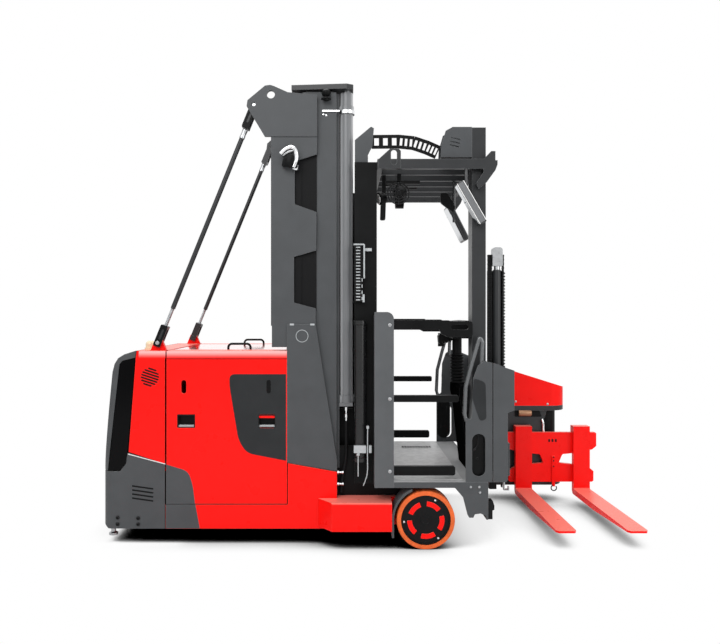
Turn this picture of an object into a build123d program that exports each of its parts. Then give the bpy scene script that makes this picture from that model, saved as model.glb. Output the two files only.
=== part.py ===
"""Man-up turret truck for very narrow aisles: chassis, two-stage mast, lifting operator's cab,
side-mounted auxiliary column, traverse frame and a swivelling fork head.
Row frame: +X towards the forks' end, +Y to the truck's left, +Z up, floor at Z = 0. Millimetres."""

import math
import os

from build123d import *

# Chassis: widths, heights and stations along X
CHASSIS_HALF = 600.0          # half width of the battery body
OVERALL_HALF = 725.0          # half width over load legs, cab and traverse frame
LEG_HALF = OVERALL_HALF
GROUND_GAP = 100.0            # underside of the body above the floor
DECK_Z = 1288.0               # top of the body
REAR_X = -1834.0              # back face of the rear end, as far back as the carriage is forward
PANEL_WALL = 14.0             # wall of the body panels
LINING = 10.0                 # frame lining behind the rear panels
SEAM = 6.0                    # gap between neighbouring panels
REAR_CORNER = 62.0            # plan radius of the two rear corners
DOOR_BACK_X = -1407.0         # rear edge of the battery doors
DOOR_FRONT_X = -602.0         # front edge of the battery doors
DOOR_SILL_Z = 266.0           # lower edge of the battery doors
EDGE_ROUND = 55.0             # rounding of the body's upper edges
LID_HALF = 430.0              # half width of the battery lid
LID_THICK = 24.0
SEAT_FIT = 0.5                # play under a lid or pad that rests on its seat
DOOR_GRIPS_X = (-1276.0, -736.0)
BODY_FRONT_X = -268.0         # front face of the mast foot
BULKHEAD_X = -1340.0           # wall between drive compartment and battery
COWL_FRONT_X = -1413.0        # front edge of the rear cowl panels
COWL_WAIST_Z = 532.0          # where cowl and bumper meet, at the front edge

# Running gear
WHEEL_X = 313.0               # load wheel axle
WHEEL_R = 190.0
WHEEL_WIDTH = 140.0
TYRE_THICK = 28.0
AXLE_R = 30.0
RUN_FIT = 0.08                # radial or axial play between a turning piece and its seat
LEG_TOP_Z = 303.0
LEG_WIDTH = 240.0
LEG_ROUND = 14.0              # rounding along the outer top edge of a leg
RIM_POCKET = 4.0              # depth of the five pockets in a wheel disc
LEG_FRONT_X = 92.0
DRIVE_X = -1556.0             # steered drive wheel axle
DRIVE_R = 190.0
DRIVE_WIDTH = 150.0
DRIVE_TYRE = 26.0
DRIVE_MOTOR_R = 120.0

# Mast
MAST_BACK_X = -500.0
MAST_FRONT_X = -272.0
MAST_HALF = 560.0             # outer face of the outer uprights
UPRIGHT_WALL = 16.0
UPRIGHT_WIDTH = 100.0
MAST_TOP_Z = 3028.0
MAST_FOOT_Z = 150.0
STAGE_GAP = 6.0               # side play between the mast stages
GUIDE_X = 20.0                # depth of the guide strips in front of the outer uprights
CROSSHEAD_Z = 3044.0          # underside of the crosshead on the inner mast
CROSSHEAD_THICK = 33.0
CYL_X = -202.0                # lift cylinders
CYL_Y = 515.0
CYL_R = 43.0
CYL_FOOT_Z = 935.0
ROD_R = 28.0
PLATE_Y = 592.0               # outer face of the mast side plates
PLATE_THICK = 16.0

# Mast stays
STAY_Y = 541.0
STAY_TOP = (-825.0, 2938.0)   # upper pin, X and Z
STAY_FOOT = (-1473.0, 1340.0)  # lower pin, X and Z
STAY_R = 16.0
CLEVIS_HALF = 21.0
STAY_PIN_R = 14.0
LIFT_EYE = (-710.0, 3002.0)   # lifting hole in the head plate, X and Z
LIFT_EYE_R = 27.0

# Operator's cab
CAB_HALF = OVERALL_HALF
CAB_BACK_X = -150.0
CAB_WALL_X = -1.0            # front of the back wall
BACK_HALF = CAB_HALF - 129    # half width of the back wall
FLOOR_Z = 440.0
FLOOR_THICK = 37.0
FLOOR_FRONT_X = 718.0
POST_BACK_X = -22.0
POST_FRONT_X = 104.0
POST_TOP_Z = 1547.0
ROOF_Z = 2486.0               # underside of the roof frame
ROOF_DEPTH = 64.0
ROOF_BACK_X = -1.0
ROOF_FRONT_X = 694.0
ROOF_BAR = 26.0
ROOF_BARS_Y = (-440.0, -220.0, 0.0, 220.0, 440.0)
PANEL_BACK_X = 572.0          # front side panels
PANEL_FRONT_X = 745.0
PANEL_TOP_Z = 1228.0
SHEET = 10.0                  # thickness of the cab's bent plates

# Gate arms, one row per arm: pivot height, arm height, front end X
GATE_PIVOT_X = 78.0
GATE_ARMS = {
    "top": (1462.0, 62.0, 476.0),
    "middle": (981.0, 44.0, 527.0),
    "low": (510.0, 61.0, 506.0),
}
GATE_HEAD = 144.0             # the top arm ends in a taller head that reaches this much further
GATE_HEAD_DROP = 47.0
GATE_THICK = 30.0
GATE_Y = CAB_HALF - 26         # centre plane of the arms

# Auxiliary column, cylinder and chain
COLUMN_BACK_X = 627.0
COLUMN_FRONT_X = 719.0
COLUMN_OUT_Y = -(CAB_HALF - 85)
COLUMN_IN_Y = COLUMN_OUT_Y + 137
COLUMN_WALL = 16.0
NECK_IN_Y = COLUMN_IN_Y + 36  # inner face of the lift neck beside the column
COLUMN_SLOT = 46.0
KNEE_Y = (NECK_IN_Y + 27, NECK_IN_Y + 447)   # right and left end of the knee wall
COLUMN_FOOT = 1044.0          # top of the knee wall, where the steering column stands
COLUMN_Y = (KNEE_Y[0] + KNEE_Y[1]) / 2       # steering column
COLUMN_FOOT_Z = 440.0
COLUMN_TOP_Z = 2770.0
AUX_CYL_X = 806.0
AUX_CYL_Y = COLUMN_OUT_Y + 65
AUX_CYL_R = 27.0
AUX_ROD_R = 20.0
AUX_CYL_TOP_Z = 1830.0
AUX_TOP_Z = 1980.0
CHAIN_WIDTH = 30.0
CABLE_CHAIN = 36.0            # width of the cable carrier
LINK_HEIGHT = 86.0
LINK_EDGE = 14.0              # rims of a link above and below its window
LINK_OPEN = 0.55              # share of a link that its window takes

# Traverse frame
FRAME_BACK_X = 751.0
RAIL_BACK_X = 858.0
RAIL_FRONT_X = 888.0
FRAME_HALF = OVERALL_HALF
FRAME_FOOT_Z = 440.0
UPPER_BEAM_TOP = 1166.0
LOWER_BEAM_TOP = 669.0
UPPER_BEAM_Z = 906.0
LOWER_BEAM_Z = 454.0

# Swivelling fork head
PIVOT_X = 1466.0
PIVOT_Y = FRAME_HALF - 145
PIVOT_R = 70.0
ARM_HALF = 116.0
ARM_FOOT_Z = 130.0
ARM_WALL = 16.0
HOOD_HALF = 140.0
HOOD_RIM_Z = 744.0
HOOD_FOOT_Z = 783.0
HOOD_BACK_X = 893.0
HOOD_SLOPE = 0.315
HOOD_TIP_Z = 928.0
PLATE_OFFSET = 130.0          # pivot to the back face of the fork carriage
FORK_PLATE_THICK = 35.0
CARRIAGE_HALF = 368.0
CARRIAGE_TOP_Z = 570.0
CARRIAGE_FOOT_Z = 167.0
FORK_HALF_SPACING = 234.0
FORK_WIDTH = 132.0
FORK_THICK = 45.0
FORK_LENGTH = 1090.0
FORK_TOP_Z = 120.0
FORK_TIP_THICK = 14.0
HEEL_ROUND = 36.0             # outer radius of a fork where shank and blade meet
SHANK_TOP_Z = 625.0


def block(x0, x1, y0, y1, z0, z1):
    """A box between two corners."""
    box = Box(x1 - x0, y1 - y0, z1 - z0)
    return Pos((x0 + x1) / 2, (y0 + y1) / 2, (z0 + z1) / 2) * box


def side_plate(points, y0, y1):
    """An outline of (X, Z) points, extruded from y0 to y1."""
    plane = Plane(origin=(0, y1, 0), x_dir=(1, 0, 0), z_dir=(0, -1, 0))
    return extrude(plane * make_face(Polyline(*points, close=True)), amount=y1 - y0)


def front_plate(points, x0, x1):
    """An outline of (Y, Z) points, extruded from x0 to x1."""
    plane = Plane(origin=(x0, 0, 0), x_dir=(0, 1, 0), z_dir=(1, 0, 0))
    return extrude(plane * make_face(Polyline(*points, close=True)), amount=x1 - x0)


def flat_plate(points, z0, z1):
    """An outline of (X, Y) points, extruded from z0 to z1."""
    face = make_face(Polyline(*points, close=True))
    return Pos(0, 0, z0) * extrude(face, amount=z1 - z0)


def rod_x(y, z, r, x0, x1):
    return Pos((x0 + x1) / 2, y, z) * Rot(0, 90, 0) * Cylinder(r, x1 - x0)


def rod_y(x, z, r, y0, y1):
    return Pos(x, (y0 + y1) / 2, z) * Rot(90, 0, 0) * Cylinder(r, y1 - y0)


def rod_z(x, y, r, z0, z1):
    return Pos(x, y, (z0 + z1) / 2) * Cylinder(r, z1 - z0)


def rod_between(a, b, r):
    """A round bar from point a to point b."""
    start, end = Vector(*a), Vector(*b)
    run = end - start
    plane = Plane(origin=start, z_dir=run)
    return extrude(plane * Circle(r), amount=run.length)


def rounded_slot(x, z, width, height, y0, y1):
    """A vertical slot with round ends, as a cutter along Y."""
    straight = height - width
    cutter = block(x - width / 2, x + width / 2, y0, y1, z - straight / 2, z + straight / 2)
    for end in (z - straight / 2, z + straight / 2):
        cutter += rod_y(x, end, width / 2, y0, y1)
    return cutter


def slanted_slot(x, z, length, width, tilt, y0, y1):
    """A slot with round ends along a line that falls by tilt degrees towards +X, as a cutter along Y."""
    straight = length - width
    along = Rot(0, tilt, 0)
    cutter = along * Box(straight, y1 - y0, width)
    for end in (-straight / 2, straight / 2):
        cutter += along * Pos(end, 0, 0) * Rot(90, 0, 0) * Cylinder(width / 2, y1 - y0)
    return Pos(x, (y0 + y1) / 2, z) * cutter


def mirrored(shape):
    """The same piece on the truck's other side."""
    return mirror(shape, about=Plane.XZ)


def both(shape):
    """A piece on the right side and its mirror image on the left, as two solids."""
    return Compound(children=[*shape.solids(), *mirrored(shape).solids()])


# Chassis

def chassis_frame():
    """Welded tub under battery and mast: floor, side skirts, bulkheads and the mast's foot beams."""
    inner = CHASSIS_HALF - PANEL_WALL
    tub = block(COWL_FRONT_X, BODY_FRONT_X, -CHASSIS_HALF, CHASSIS_HALF, GROUND_GAP, DOOR_SILL_Z - SEAM)
    tub -= block(
        COWL_FRONT_X + PANEL_WALL, BODY_FRONT_X - PANEL_WALL, -inner, inner,
        GROUND_GAP + PANEL_WALL, DOOR_SILL_Z,
    )
    bulkhead_top = DECK_Z - LID_THICK - SEAT_FIT
    tub -= block(COWL_FRONT_X - 1, BULKHEAD_X, -inner, inner, 0, DOOR_SILL_Z)
    tub -= block(
        BODY_FRONT_X - PANEL_WALL - 1, BODY_FRONT_X + 1, -MAST_HALF - 6, MAST_HALF + 6,
        GROUND_GAP + PANEL_WALL, DOOR_SILL_Z,
    )
    post = PLATE_Y - PLATE_THICK - 36
    tub += block(BULKHEAD_X, BULKHEAD_X + PANEL_WALL, -post, post, GROUND_GAP, bulkhead_top)
    tub += block(DOOR_FRONT_X, DOOR_FRONT_X + PANEL_WALL, -post, post, GROUND_GAP, bulkhead_top)
    shelf = 2 * DRIVE_R + 100
    lining = CHASSIS_HALF - PANEL_WALL - LINING
    plate = block(REAR_X + 199, BULKHEAD_X, -lining, lining, shelf, shelf + 20)
    plate += block(REAR_X + 90, BULKHEAD_X, -520, 520, shelf, shelf + 20)
    tub += plate - rod_z(DRIVE_X, 0, DRIVE_MOTOR_R + RUN_FIT, shelf - 1, shelf + 30)
    wing = [
        (DOOR_FRONT_X + SEAM, GROUND_GAP),
        (BODY_FRONT_X, GROUND_GAP),
        (BODY_FRONT_X, 478),
        (DOOR_FRONT_X + SEAM, 536),
    ]
    for side in (-1, 1):
        low, high = sorted((side * (CHASSIS_HALF - PANEL_WALL), side * CHASSIS_HALF))
        tub += side_plate(wing, low, high)
    return tub


def battery():
    gap = 20.0
    return block(
        BULKHEAD_X + PANEL_WALL + gap, DOOR_FRONT_X - gap,
        -LID_HALF - gap, LID_HALF + gap,
        GROUND_GAP + PANEL_WALL, DECK_Z - LID_THICK - 90,
    )


def side_door():
    """Battery door on the right: flat panel whose upper edge rolls over onto the deck."""
    width = CHASSIS_HALF - LID_HALF - SEAM
    outer = block(
        DOOR_BACK_X, DOOR_FRONT_X, -CHASSIS_HALF, -CHASSIS_HALF + width, DOOR_SILL_Z, DECK_Z
    )
    outer = fillet(
        outer.edges().filter_by(Axis.X).group_by(Axis.Y)[0].sort_by(Axis.Z)[-1:], EDGE_ROUND
    )
    inner = block(
        DOOR_BACK_X - 1, DOOR_FRONT_X + 1, -CHASSIS_HALF + PANEL_WALL, -CHASSIS_HALF + width + 1,
        DOOR_SILL_Z - 1, DECK_Z - PANEL_WALL,
    )
    inner = fillet(
        inner.edges().filter_by(Axis.X).group_by(Axis.Y)[0].sort_by(Axis.Z)[-1:],
        EDGE_ROUND - PANEL_WALL,
    )
    door = outer - inner
    for x in DOOR_GRIPS_X:
        door -= block(x - 60, x + 60, -CHASSIS_HALF - 1, -CHASSIS_HALF + PANEL_WALL + 1, 773, 863)
        door -= rounded_slot(x - 16, 1047, 34, 90, -CHASSIS_HALF - 1, -CHASSIS_HALF + PANEL_WALL + 1)
    return door + door_latches()


def door_latches():
    """Recessed grip cups behind the openings in the right battery door."""
    cups = None
    back = -CHASSIS_HALF + PANEL_WALL
    for x in DOOR_GRIPS_X:
        cup = block(x - 68, x + 68, back, back + 34, 765, 871)
        cup -= block(x - 58, x + 58, back - 1, back + 28, 775, 861)
        cups = cup if cups is None else cups + cup
    return cups


def battery_lid():
    """Top cover with its raised skirt and two bail handles."""
    lid = block(
        COWL_FRONT_X + SEAM + 4, DOOR_FRONT_X, -LID_HALF, LID_HALF, DECK_Z - LID_THICK, DECK_Z
    )
    lid = fillet(lid.edges().group_by(Axis.Z)[-1], 10)
    return lid


def lid_handles():
    """Bail handles near the front edge of the lid, one on each side."""
    x0, x1, rise, r, bend = -1029.0, -874.0, 38.0, 8.0, 26.0
    handles = []
    for y in (-LID_HALF + 40, LID_HALF - 40):
        path = FilletPolyline(
            (x0, y, DECK_Z), (x0, y, DECK_Z + rise), (x1, y, DECK_Z + rise), (x1, y, DECK_Z),
            radius=bend,
        )
        profile = Plane(origin=(x0, y, DECK_Z), z_dir=(0, 0, 1)) * Circle(r)
        handles += sweep(profile, path=path).solids()
    return Compound(children=handles)


def rear_outline(inset):
    """Plan outline of the rear end with round corners, pulled in by inset."""
    half = CHASSIS_HALF - inset
    back = REAR_X + inset
    front = COWL_FRONT_X - SEAM
    corner = REAR_CORNER - inset
    outline = Polyline((front, half), (back, half), (back, -half), (front, -half), close=True)
    face = make_face(outline)
    return fillet(face.vertices().group_by(Axis.X)[0], corner)


REAR_SIDE = [
    (COWL_FRONT_X - SEAM, GROUND_GAP), (COWL_FRONT_X - SEAM, DECK_Z), (-1614.0, DECK_Z),
    (-1690.0, 1264.0), (-1731.0, 1238.0), (-1754.0, 1200.0), (-1768.0, 1145.0),
    (REAR_X, 478.0), (REAR_X, 127.0), (-1796.0, GROUND_GAP),
]


def rear_body(inset):
    """Solid rear end, pulled in by inset on its outside."""
    face = make_face(Polyline(*REAR_SIDE, close=True))
    if inset:
        face = offset(face, amount=-inset, kind=Kind.INTERSECTION)
    plane = Plane(origin=(0, CHASSIS_HALF, 0), x_dir=(1, 0, 0), z_dir=(0, -1, 0))
    side = extrude(plane * face, amount=2 * CHASSIS_HALF)
    return side & extrude(rear_outline(inset), amount=DECK_Z)


def rear_shell(outline):
    """The part of the rear end's skin inside a side-view outline."""
    half = CHASSIS_HALF + 1
    shell = rear_body(0) - rear_body(PANEL_WALL)
    front = COWL_FRONT_X - SEAM
    open_half = CHASSIS_HALF - PANEL_WALL
    shell -= block(front - 20, front + 1, -open_half, open_half, 0, DECK_Z - PANEL_WALL)
    shell -= block(REAR_X + 40, front + 1, -open_half, open_half, 0, GROUND_GAP + 40)
    return shell & side_plate(outline, -half, half)


BUMPER_OUTLINE = [
    (COWL_FRONT_X, 0), (COWL_FRONT_X, COWL_WAIST_Z - SEAM), (-1667.0, 605.0), (-1677.0, 533.0),
    (-1718.0, 482.0), (-1900.0, 482.0), (-1900.0, 0),
]
COWL_OUTLINE = [
    (COWL_FRONT_X, COWL_WAIST_Z), (COWL_FRONT_X, DECK_Z + 1), (-1606.0, DECK_Z + 1),
    (-1612.0, 1240.0), (-1660.0, 612.0),
]
WINDOW_OUTLINE = [
    (-1617.0, 1238.0), (-1671.0, 580.0), (-1681.0, 534.0), (-1720.0, 488.0), (-1795.0, 488.0),
    (-1716.0, 1196.0), (-1702.0, 1216.0),
]
CROWN_OUTLINE = [
    (-1611.0, DECK_Z + 1), (-1616.0, 1243.0), (-1704.0, 1221.0), (-1722.0, 1198.0),
    (-1801.0, 488.0), (-1900.0, 488.0), (-1900.0, DECK_Z + 1),
]


BUMPER_SLOTS = (-1566.0, 375.0, 27.0, 4)     # middle X, top Z, pitch, count
VENT = (-1518.0, 1112.0, 62.0, 18.0, 7)      # centre X and Z, radius, pitch, count
SLOT_WIDTH = 9.0
VENT_TILT = 18.0


def rear_bumper():
    """Lower skirt of the rear end, with four slanted slots on each side."""
    x, top, pitch, count = BUMPER_SLOTS
    bumper = rear_shell(BUMPER_OUTLINE)
    for i in range(count):
        bumper -= slanted_slot(x, top - pitch * i, 148, SLOT_WIDTH, 8, -CHASSIS_HALF - 1, CHASSIS_HALF + 1)
    return bumper


def rear_cowl():
    """Red panels beside the drive compartment, joined over the top."""
    lug = stay_bracket()
    return rear_shell(COWL_OUTLINE) - vent_slots() + lug + mirrored(lug)


def vent_slots():
    """Cutters of the round vent: slanted slots whose ends lie on a circle."""
    x, z, radius, pitch, count = VENT
    slope = math.radians(VENT_TILT)
    cutters = None
    for i in range(count):
        away = pitch * (i - (count - 1) / 2)
        length = 2 * math.sqrt(radius ** 2 - away ** 2)
        middle = (x + away * math.sin(slope), z + away * math.cos(slope))
        cutter = slanted_slot(*middle, length, SLOT_WIDTH, VENT_TILT, -CHASSIS_HALF - 1, CHASSIS_HALF + 1)
        cutters = cutter if cutters is None else cutters + cutter
    return cutters


def rear_window():
    return rear_shell(WINDOW_OUTLINE)


def rear_crown():
    """Pale skin round the back of the drive compartment."""
    return rear_shell(CROWN_OUTLINE)


def rear_lining():
    """Dark inner frame that the rear panels are screwed to."""
    front = COWL_FRONT_X - SEAM
    skin = PANEL_WALL + LINING
    lining = rear_body(PANEL_WALL) - rear_body(skin)
    half = CHASSIS_HALF - skin
    lining -= block(front - 60, front + 1, -half, half, 0, DECK_Z - skin)
    return lining - block(REAR_X + 60, front + 1, -half, half, 0, GROUND_GAP + 60)


def beacon():
    """Flashing light on the rear deck."""
    foot = rod_z(-1560.0, -430.0, 40, DECK_Z, DECK_Z + 14)
    dome = rod_z(-1560.0, -430.0, 34, DECK_Z + 14, DECK_Z + 62)
    dome = fillet(dome.edges().group_by(Axis.Z)[-1], 26)
    return foot + dome


def load_leg():
    """Right load leg: box from the body to the wheel, with an inner arm that carries the axle."""
    outer, inner = -LEG_HALF, -LEG_HALF + LEG_WIDTH
    arm = -LEG_HALF + WHEEL_WIDTH + 24
    root = BODY_FRONT_X - 127
    outline = [
        (root, -CHASSIS_HALF), (root + 96, outer), (LEG_FRONT_X, outer), (LEG_FRONT_X, arm),
        (WHEEL_X + 90, arm), (WHEEL_X + 90, inner), (MAST_FRONT_X, inner), (MAST_FRONT_X, -MAST_HALF),
        (BODY_FRONT_X, -MAST_HALF), (BODY_FRONT_X, -CHASSIS_HALF),
    ]
    leg = flat_plate(outline, GROUND_GAP + 17, LEG_TOP_Z)
    rounded = leg.edges().group_by(Axis.Z)[-1].filter_by(Axis.X).sort_by(Axis.Y)[:1]
    leg = fillet(rounded, LEG_ROUND)
    leg += rod_y(WHEEL_X, WHEEL_R, AXLE_R, -LEG_HALF + 26, arm + 1)
    return leg


def wheel_fender():
    """Bent mudguard strip between leg and wheel."""
    r_in = WHEEL_R + 18
    y0, y1 = -LEG_HALF + 6, -LEG_HALF + WHEEL_WIDTH + 20
    thick = WHEEL_X - r_in - LEG_FRONT_X
    strip = block(LEG_FRONT_X, WHEEL_X - r_in, y0, y1, 75, WHEEL_R + 40)
    arc = rod_y(WHEEL_X, WHEEL_R, r_in + thick, y0, y1) - rod_y(WHEEL_X, WHEEL_R, r_in, y0 - 1, y1 + 1)
    return strip + (arc & block(LEG_FRONT_X, WHEEL_X - 88, -LEG_HALF, 0, WHEEL_R + 20, 500))


def load_rim(side):
    """Steel hub disc with five slots, running on the stub axle."""
    y0, y1 = -LEG_HALF + 12, -LEG_HALF + 12 + WHEEL_WIDTH
    rim = rod_y(WHEEL_X, WHEEL_R, WHEEL_R - TYRE_THICK, y0, y1)
    rim -= rod_y(WHEEL_X, WHEEL_R, AXLE_R + RUN_FIT, y0 + 14, y1 + 1)
    groove = rod_y(WHEEL_X, WHEEL_R, WHEEL_R - TYRE_THICK - 30, y0 + 20, y1 + 1)
    groove -= rod_y(WHEEL_X, WHEEL_R, AXLE_R + 34, y0 + 19, y1 + 2)
    rim -= groove
    for turn in range(5):
        rim -= Pos(WHEEL_X, 0, WHEEL_R) * Rot(0, 10 - 72 * turn, 0) * Pos(-WHEEL_X, 0, -WHEEL_R) * pocket(y0)
    return rim if side < 0 else mirrored(rim)


def pocket(level):
    """Cutter of one arc-shaped pocket, centred ahead of the axle."""
    inner, outer, spread = 88.0, 124.0, math.radians(26)
    ring = rod_y(WHEEL_X, WHEEL_R, outer, level - 1, level + RIM_POCKET)
    ring -= rod_y(WHEEL_X, WHEEL_R, inner, level - 2, level + RIM_POCKET + 1)
    reach = 2 * outer
    rise = reach * math.tan(spread)
    wedge = side_plate(
        [(WHEEL_X, WHEEL_R), (WHEEL_X + reach, WHEEL_R - rise), (WHEEL_X + reach, WHEEL_R + rise)],
        level - 2, level + RIM_POCKET + 2,
    )
    return ring & wedge


def load_tyre(side):
    y0, y1 = -LEG_HALF + 4, -LEG_HALF + 20 + WHEEL_WIDTH
    tyre = rod_y(WHEEL_X, WHEEL_R, WHEEL_R, y0, y1)
    tyre = fillet(tyre.edges(), 9)
    tyre -= rod_y(WHEEL_X, WHEEL_R, WHEEL_R - TYRE_THICK, y0 - 1, y1 + 1)
    return tyre if side < 0 else mirrored(tyre)


def drive_unit():
    """Steered gearbox leg with its ring and traction motor above."""
    leg_y = DRIVE_WIDTH / 2 + 14
    leg = block(DRIVE_X - 70, DRIVE_X + 70, leg_y, leg_y + 70, DRIVE_R - 70, 2 * DRIVE_R + 60)
    leg = fillet(leg.edges().filter_by(Axis.Y), 60)
    ring = rod_z(DRIVE_X, 0, 200, 2 * DRIVE_R + 30, 2 * DRIVE_R + 80)
    motor = rod_z(DRIVE_X, 0, DRIVE_MOTOR_R, 2 * DRIVE_R + 80, 2 * DRIVE_R + 420)
    axle = rod_y(DRIVE_X, DRIVE_R, AXLE_R, -DRIVE_WIDTH / 2 + 16, leg_y + 4)
    return leg + ring + motor + axle


def drive_rim():
    half = DRIVE_WIDTH / 2 - 4
    rim = rod_y(DRIVE_X, DRIVE_R, DRIVE_R - DRIVE_TYRE, -half, half)
    rim -= rod_y(DRIVE_X, DRIVE_R, AXLE_R + RUN_FIT, -half + 10, half + 1)
    return rim


def drive_tyre():
    half = DRIVE_WIDTH / 2
    tyre = rod_y(DRIVE_X, DRIVE_R, DRIVE_R, -half, half)
    tyre = fillet(tyre.edges(), 9)
    return tyre - rod_y(DRIVE_X, DRIVE_R, DRIVE_R - DRIVE_TYRE, -half - 1, half + 1)


# Mast

def channel(x0, x1, y_web, y_lip, z0, z1, wall):
    """A vertical channel whose web is at y_web and whose flanges reach to y_lip."""
    low, high = sorted((y_web, y_lip))
    profile = block(x0, x1, low, high, z0, z1)
    if y_web < y_lip:
        hollow = block(x0 + wall, x1 - wall, low + wall, high + 1, z0 - 1, z1 + 1)
    else:
        hollow = block(x0 + wall, x1 - wall, low - 1, high - wall, z0 - 1, z1 + 1)
    return profile - hollow


def mast_outer():
    """Outer mast: two channels open inwards, tied at head, waist and foot behind the inner stage."""
    mast = channel(
        MAST_BACK_X, MAST_FRONT_X, -MAST_HALF, -MAST_HALF + UPRIGHT_WIDTH, MAST_FOOT_Z, MAST_TOP_Z,
        UPRIGHT_WALL,
    )
    mast += mirrored(mast)
    strip = block(
        MAST_FRONT_X, MAST_FRONT_X + GUIDE_X, -MAST_HALF + 34, -MAST_HALF + UPRIGHT_WIDTH,
        MAST_FOOT_Z + 340, MAST_TOP_Z,
    )
    mast += strip + mirrored(strip)
    for z0, z1 in ((MAST_FOOT_Z, 330.0), (1500.0, 1620.0), (MAST_TOP_Z - 140, MAST_TOP_Z - 20)):
        mast += block(MAST_BACK_X - 40, MAST_BACK_X, -MAST_HALF + 4, MAST_HALF - 4, z0, z1)
    return mast


def mast_side_plate():
    """Right cheek: head plate with stay eye and lifting hole, windowed web, and the wide foot gusset."""
    y0, y1 = -PLATE_Y, -PLATE_Y + PLATE_THICK
    skin = -CHASSIS_HALF
    web = side_plate(
        [
            (-710, 1455), (-710, 2730), (-401, 2730), (-412, 1455), (DOOR_FRONT_X, 1455),
            (DOOR_FRONT_X, DECK_Z + 24), (-704, DECK_Z + 24), (-704, 1455),
        ], y0, y1,
    )
    head = side_plate(
        [
            (-401, 2722), (-751, 2722), (-872, 2924), (-866, 2964), (-749, 3061), (-715, 3066),
            (-689, 3058), (-597, 3017), (-401, 2998),
        ], skin, y1,
    )
    foot = side_plate([(-602, 542), (-602, 1461), (-412, 1467), (-268, 551), (-268, 484)], skin, y1)
    plate = web + head + foot
    plate -= rod_y(LIFT_EYE[0], LIFT_EYE[1], LIFT_EYE_R, skin - 1, y1 + 1)
    plate -= rod_y(STAY_TOP[0], STAY_TOP[1], STAY_PIN_R + RUN_FIT, skin - 1, y1 + 1)
    plate -= side_plate([(-551, 2269), (-551, 2557), (-398, 2605), (-398, 2214)], skin - 1, y1 + 1)
    plate -= side_plate([(-556, 1610), (-556, 1917), (-398, 1963), (-398, 1568)], skin - 1, y1 + 1)
    for z in (800.0, 1480.0, 2080.0, 2640.0):
        plate += block(MAST_BACK_X + 20, MAST_BACK_X + 80, y1, -MAST_HALF, z, z + 60)
    return plate


def stay():
    """Right mast stay: clevis ends, threaded end and tube, in one plane."""
    foot = Vector(STAY_FOOT[0], -STAY_Y, STAY_FOOT[1])
    top = Vector(STAY_TOP[0], -STAY_Y, STAY_TOP[1])
    along = (top - foot).normalized()
    body = rod_between(foot + along * 250, top - along * 170, STAY_R)
    body += rod_between(foot + along * 120, foot + along * 260, STAY_R * 0.55)
    tilt = math.degrees(math.atan2(along.X, along.Z))
    for start, sign, length in ((foot, 1, 150.0), (top, -1, 190.0)):
        fork = Box(46, 2 * CLEVIS_HALF + 24, length) - Pos(0, 0, -sign * 22) * Box(60, 2 * CLEVIS_HALF, length)
        middle = start + along * (sign * (length / 2 - 26))
        body += Pos(middle) * Rot(0, tilt, 0) * fork
        body += rod_y(start.X, start.Z, 14, -STAY_Y - CLEVIS_HALF - 20, -STAY_Y + CLEVIS_HALF + 20)
    return body


def stay_bracket():
    """Red lug on the rear deck that takes the lower stay pin."""
    x, z = STAY_FOOT
    lug = side_plate(
        [(x - 54, DECK_Z), (x + 54, DECK_Z), (x + 24, z + 22), (x - 24, z + 22)], -STAY_Y - 14, -STAY_Y + 14
    )
    return lug - rod_y(x, z, 14 + RUN_FIT, -STAY_Y - 30, -STAY_Y + 30)


def head_lug():
    """Inner lug beside the right head plate that the stay's upper fork straddles."""
    x, z = STAY_TOP
    lug = side_plate(
        [(x - 34, z - 10), (x - 8, z - 40), (x + 110, z - 60), (x + 110, z + 40), (x, z + 34)],
        -STAY_Y - 14, -STAY_Y + 14,
    )
    lug += block(x + 70, x + 110, -PLATE_Y + PLATE_THICK, -STAY_Y - 13, z - 50, z + 34)
    return lug - rod_y(x, z, STAY_PIN_R + RUN_FIT, -STAY_Y - 40, -STAY_Y + 40)


def lift_cylinder():
    """Right lift cylinder: barrel open at the top for the rod, foot flange, head gland and clamp."""
    top = CROSSHEAD_Z - 14
    barrel = rod_z(CYL_X, -CYL_Y, CYL_R, CYL_FOOT_Z, top)
    barrel += rod_z(CYL_X, -CYL_Y, CYL_R + 6, CYL_FOOT_Z, CYL_FOOT_Z + 48)
    seat = MAST_FRONT_X + GUIDE_X
    clamp = MAST_TOP_Z - 130
    barrel += block(seat, CYL_X + 40, -MAST_HALF, -CYL_Y + 40, CYL_FOOT_Z - 24, CYL_FOOT_Z)
    barrel += block(seat, CYL_X - 20, -CYL_Y - 20, -CYL_Y + 20, clamp, clamp + 40)
    barrel += rod_z(CYL_X, -CYL_Y, CYL_R + 6, clamp - 4, clamp + 44)
    barrel -= rod_z(CYL_X, -CYL_Y, ROD_R + RUN_FIT, CYL_FOOT_Z + 60, top + 1)
    return barrel


def mast_inner():
    """Inner mast: two channels nested in the outer ones, tied at head and foot, with the crosshead."""
    play = UPRIGHT_WALL + STAGE_GAP
    x0, x1 = MAST_BACK_X + play, MAST_FRONT_X - play
    web = -MAST_HALF + play
    mast = channel(x0, x1, web, web + 80, MAST_FOOT_Z + 30, CROSSHEAD_Z, UPRIGHT_WALL)
    mast += mirrored(mast)
    mast += block(x0, x0 + 20, web + 60, -web - 60, CROSSHEAD_Z - 120, CROSSHEAD_Z)
    mast += block(x0, x0 + 20, web + 60, -web - 60, MAST_FOOT_Z + 30, MAST_FOOT_Z + 130)
    return mast + crosshead()


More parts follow.
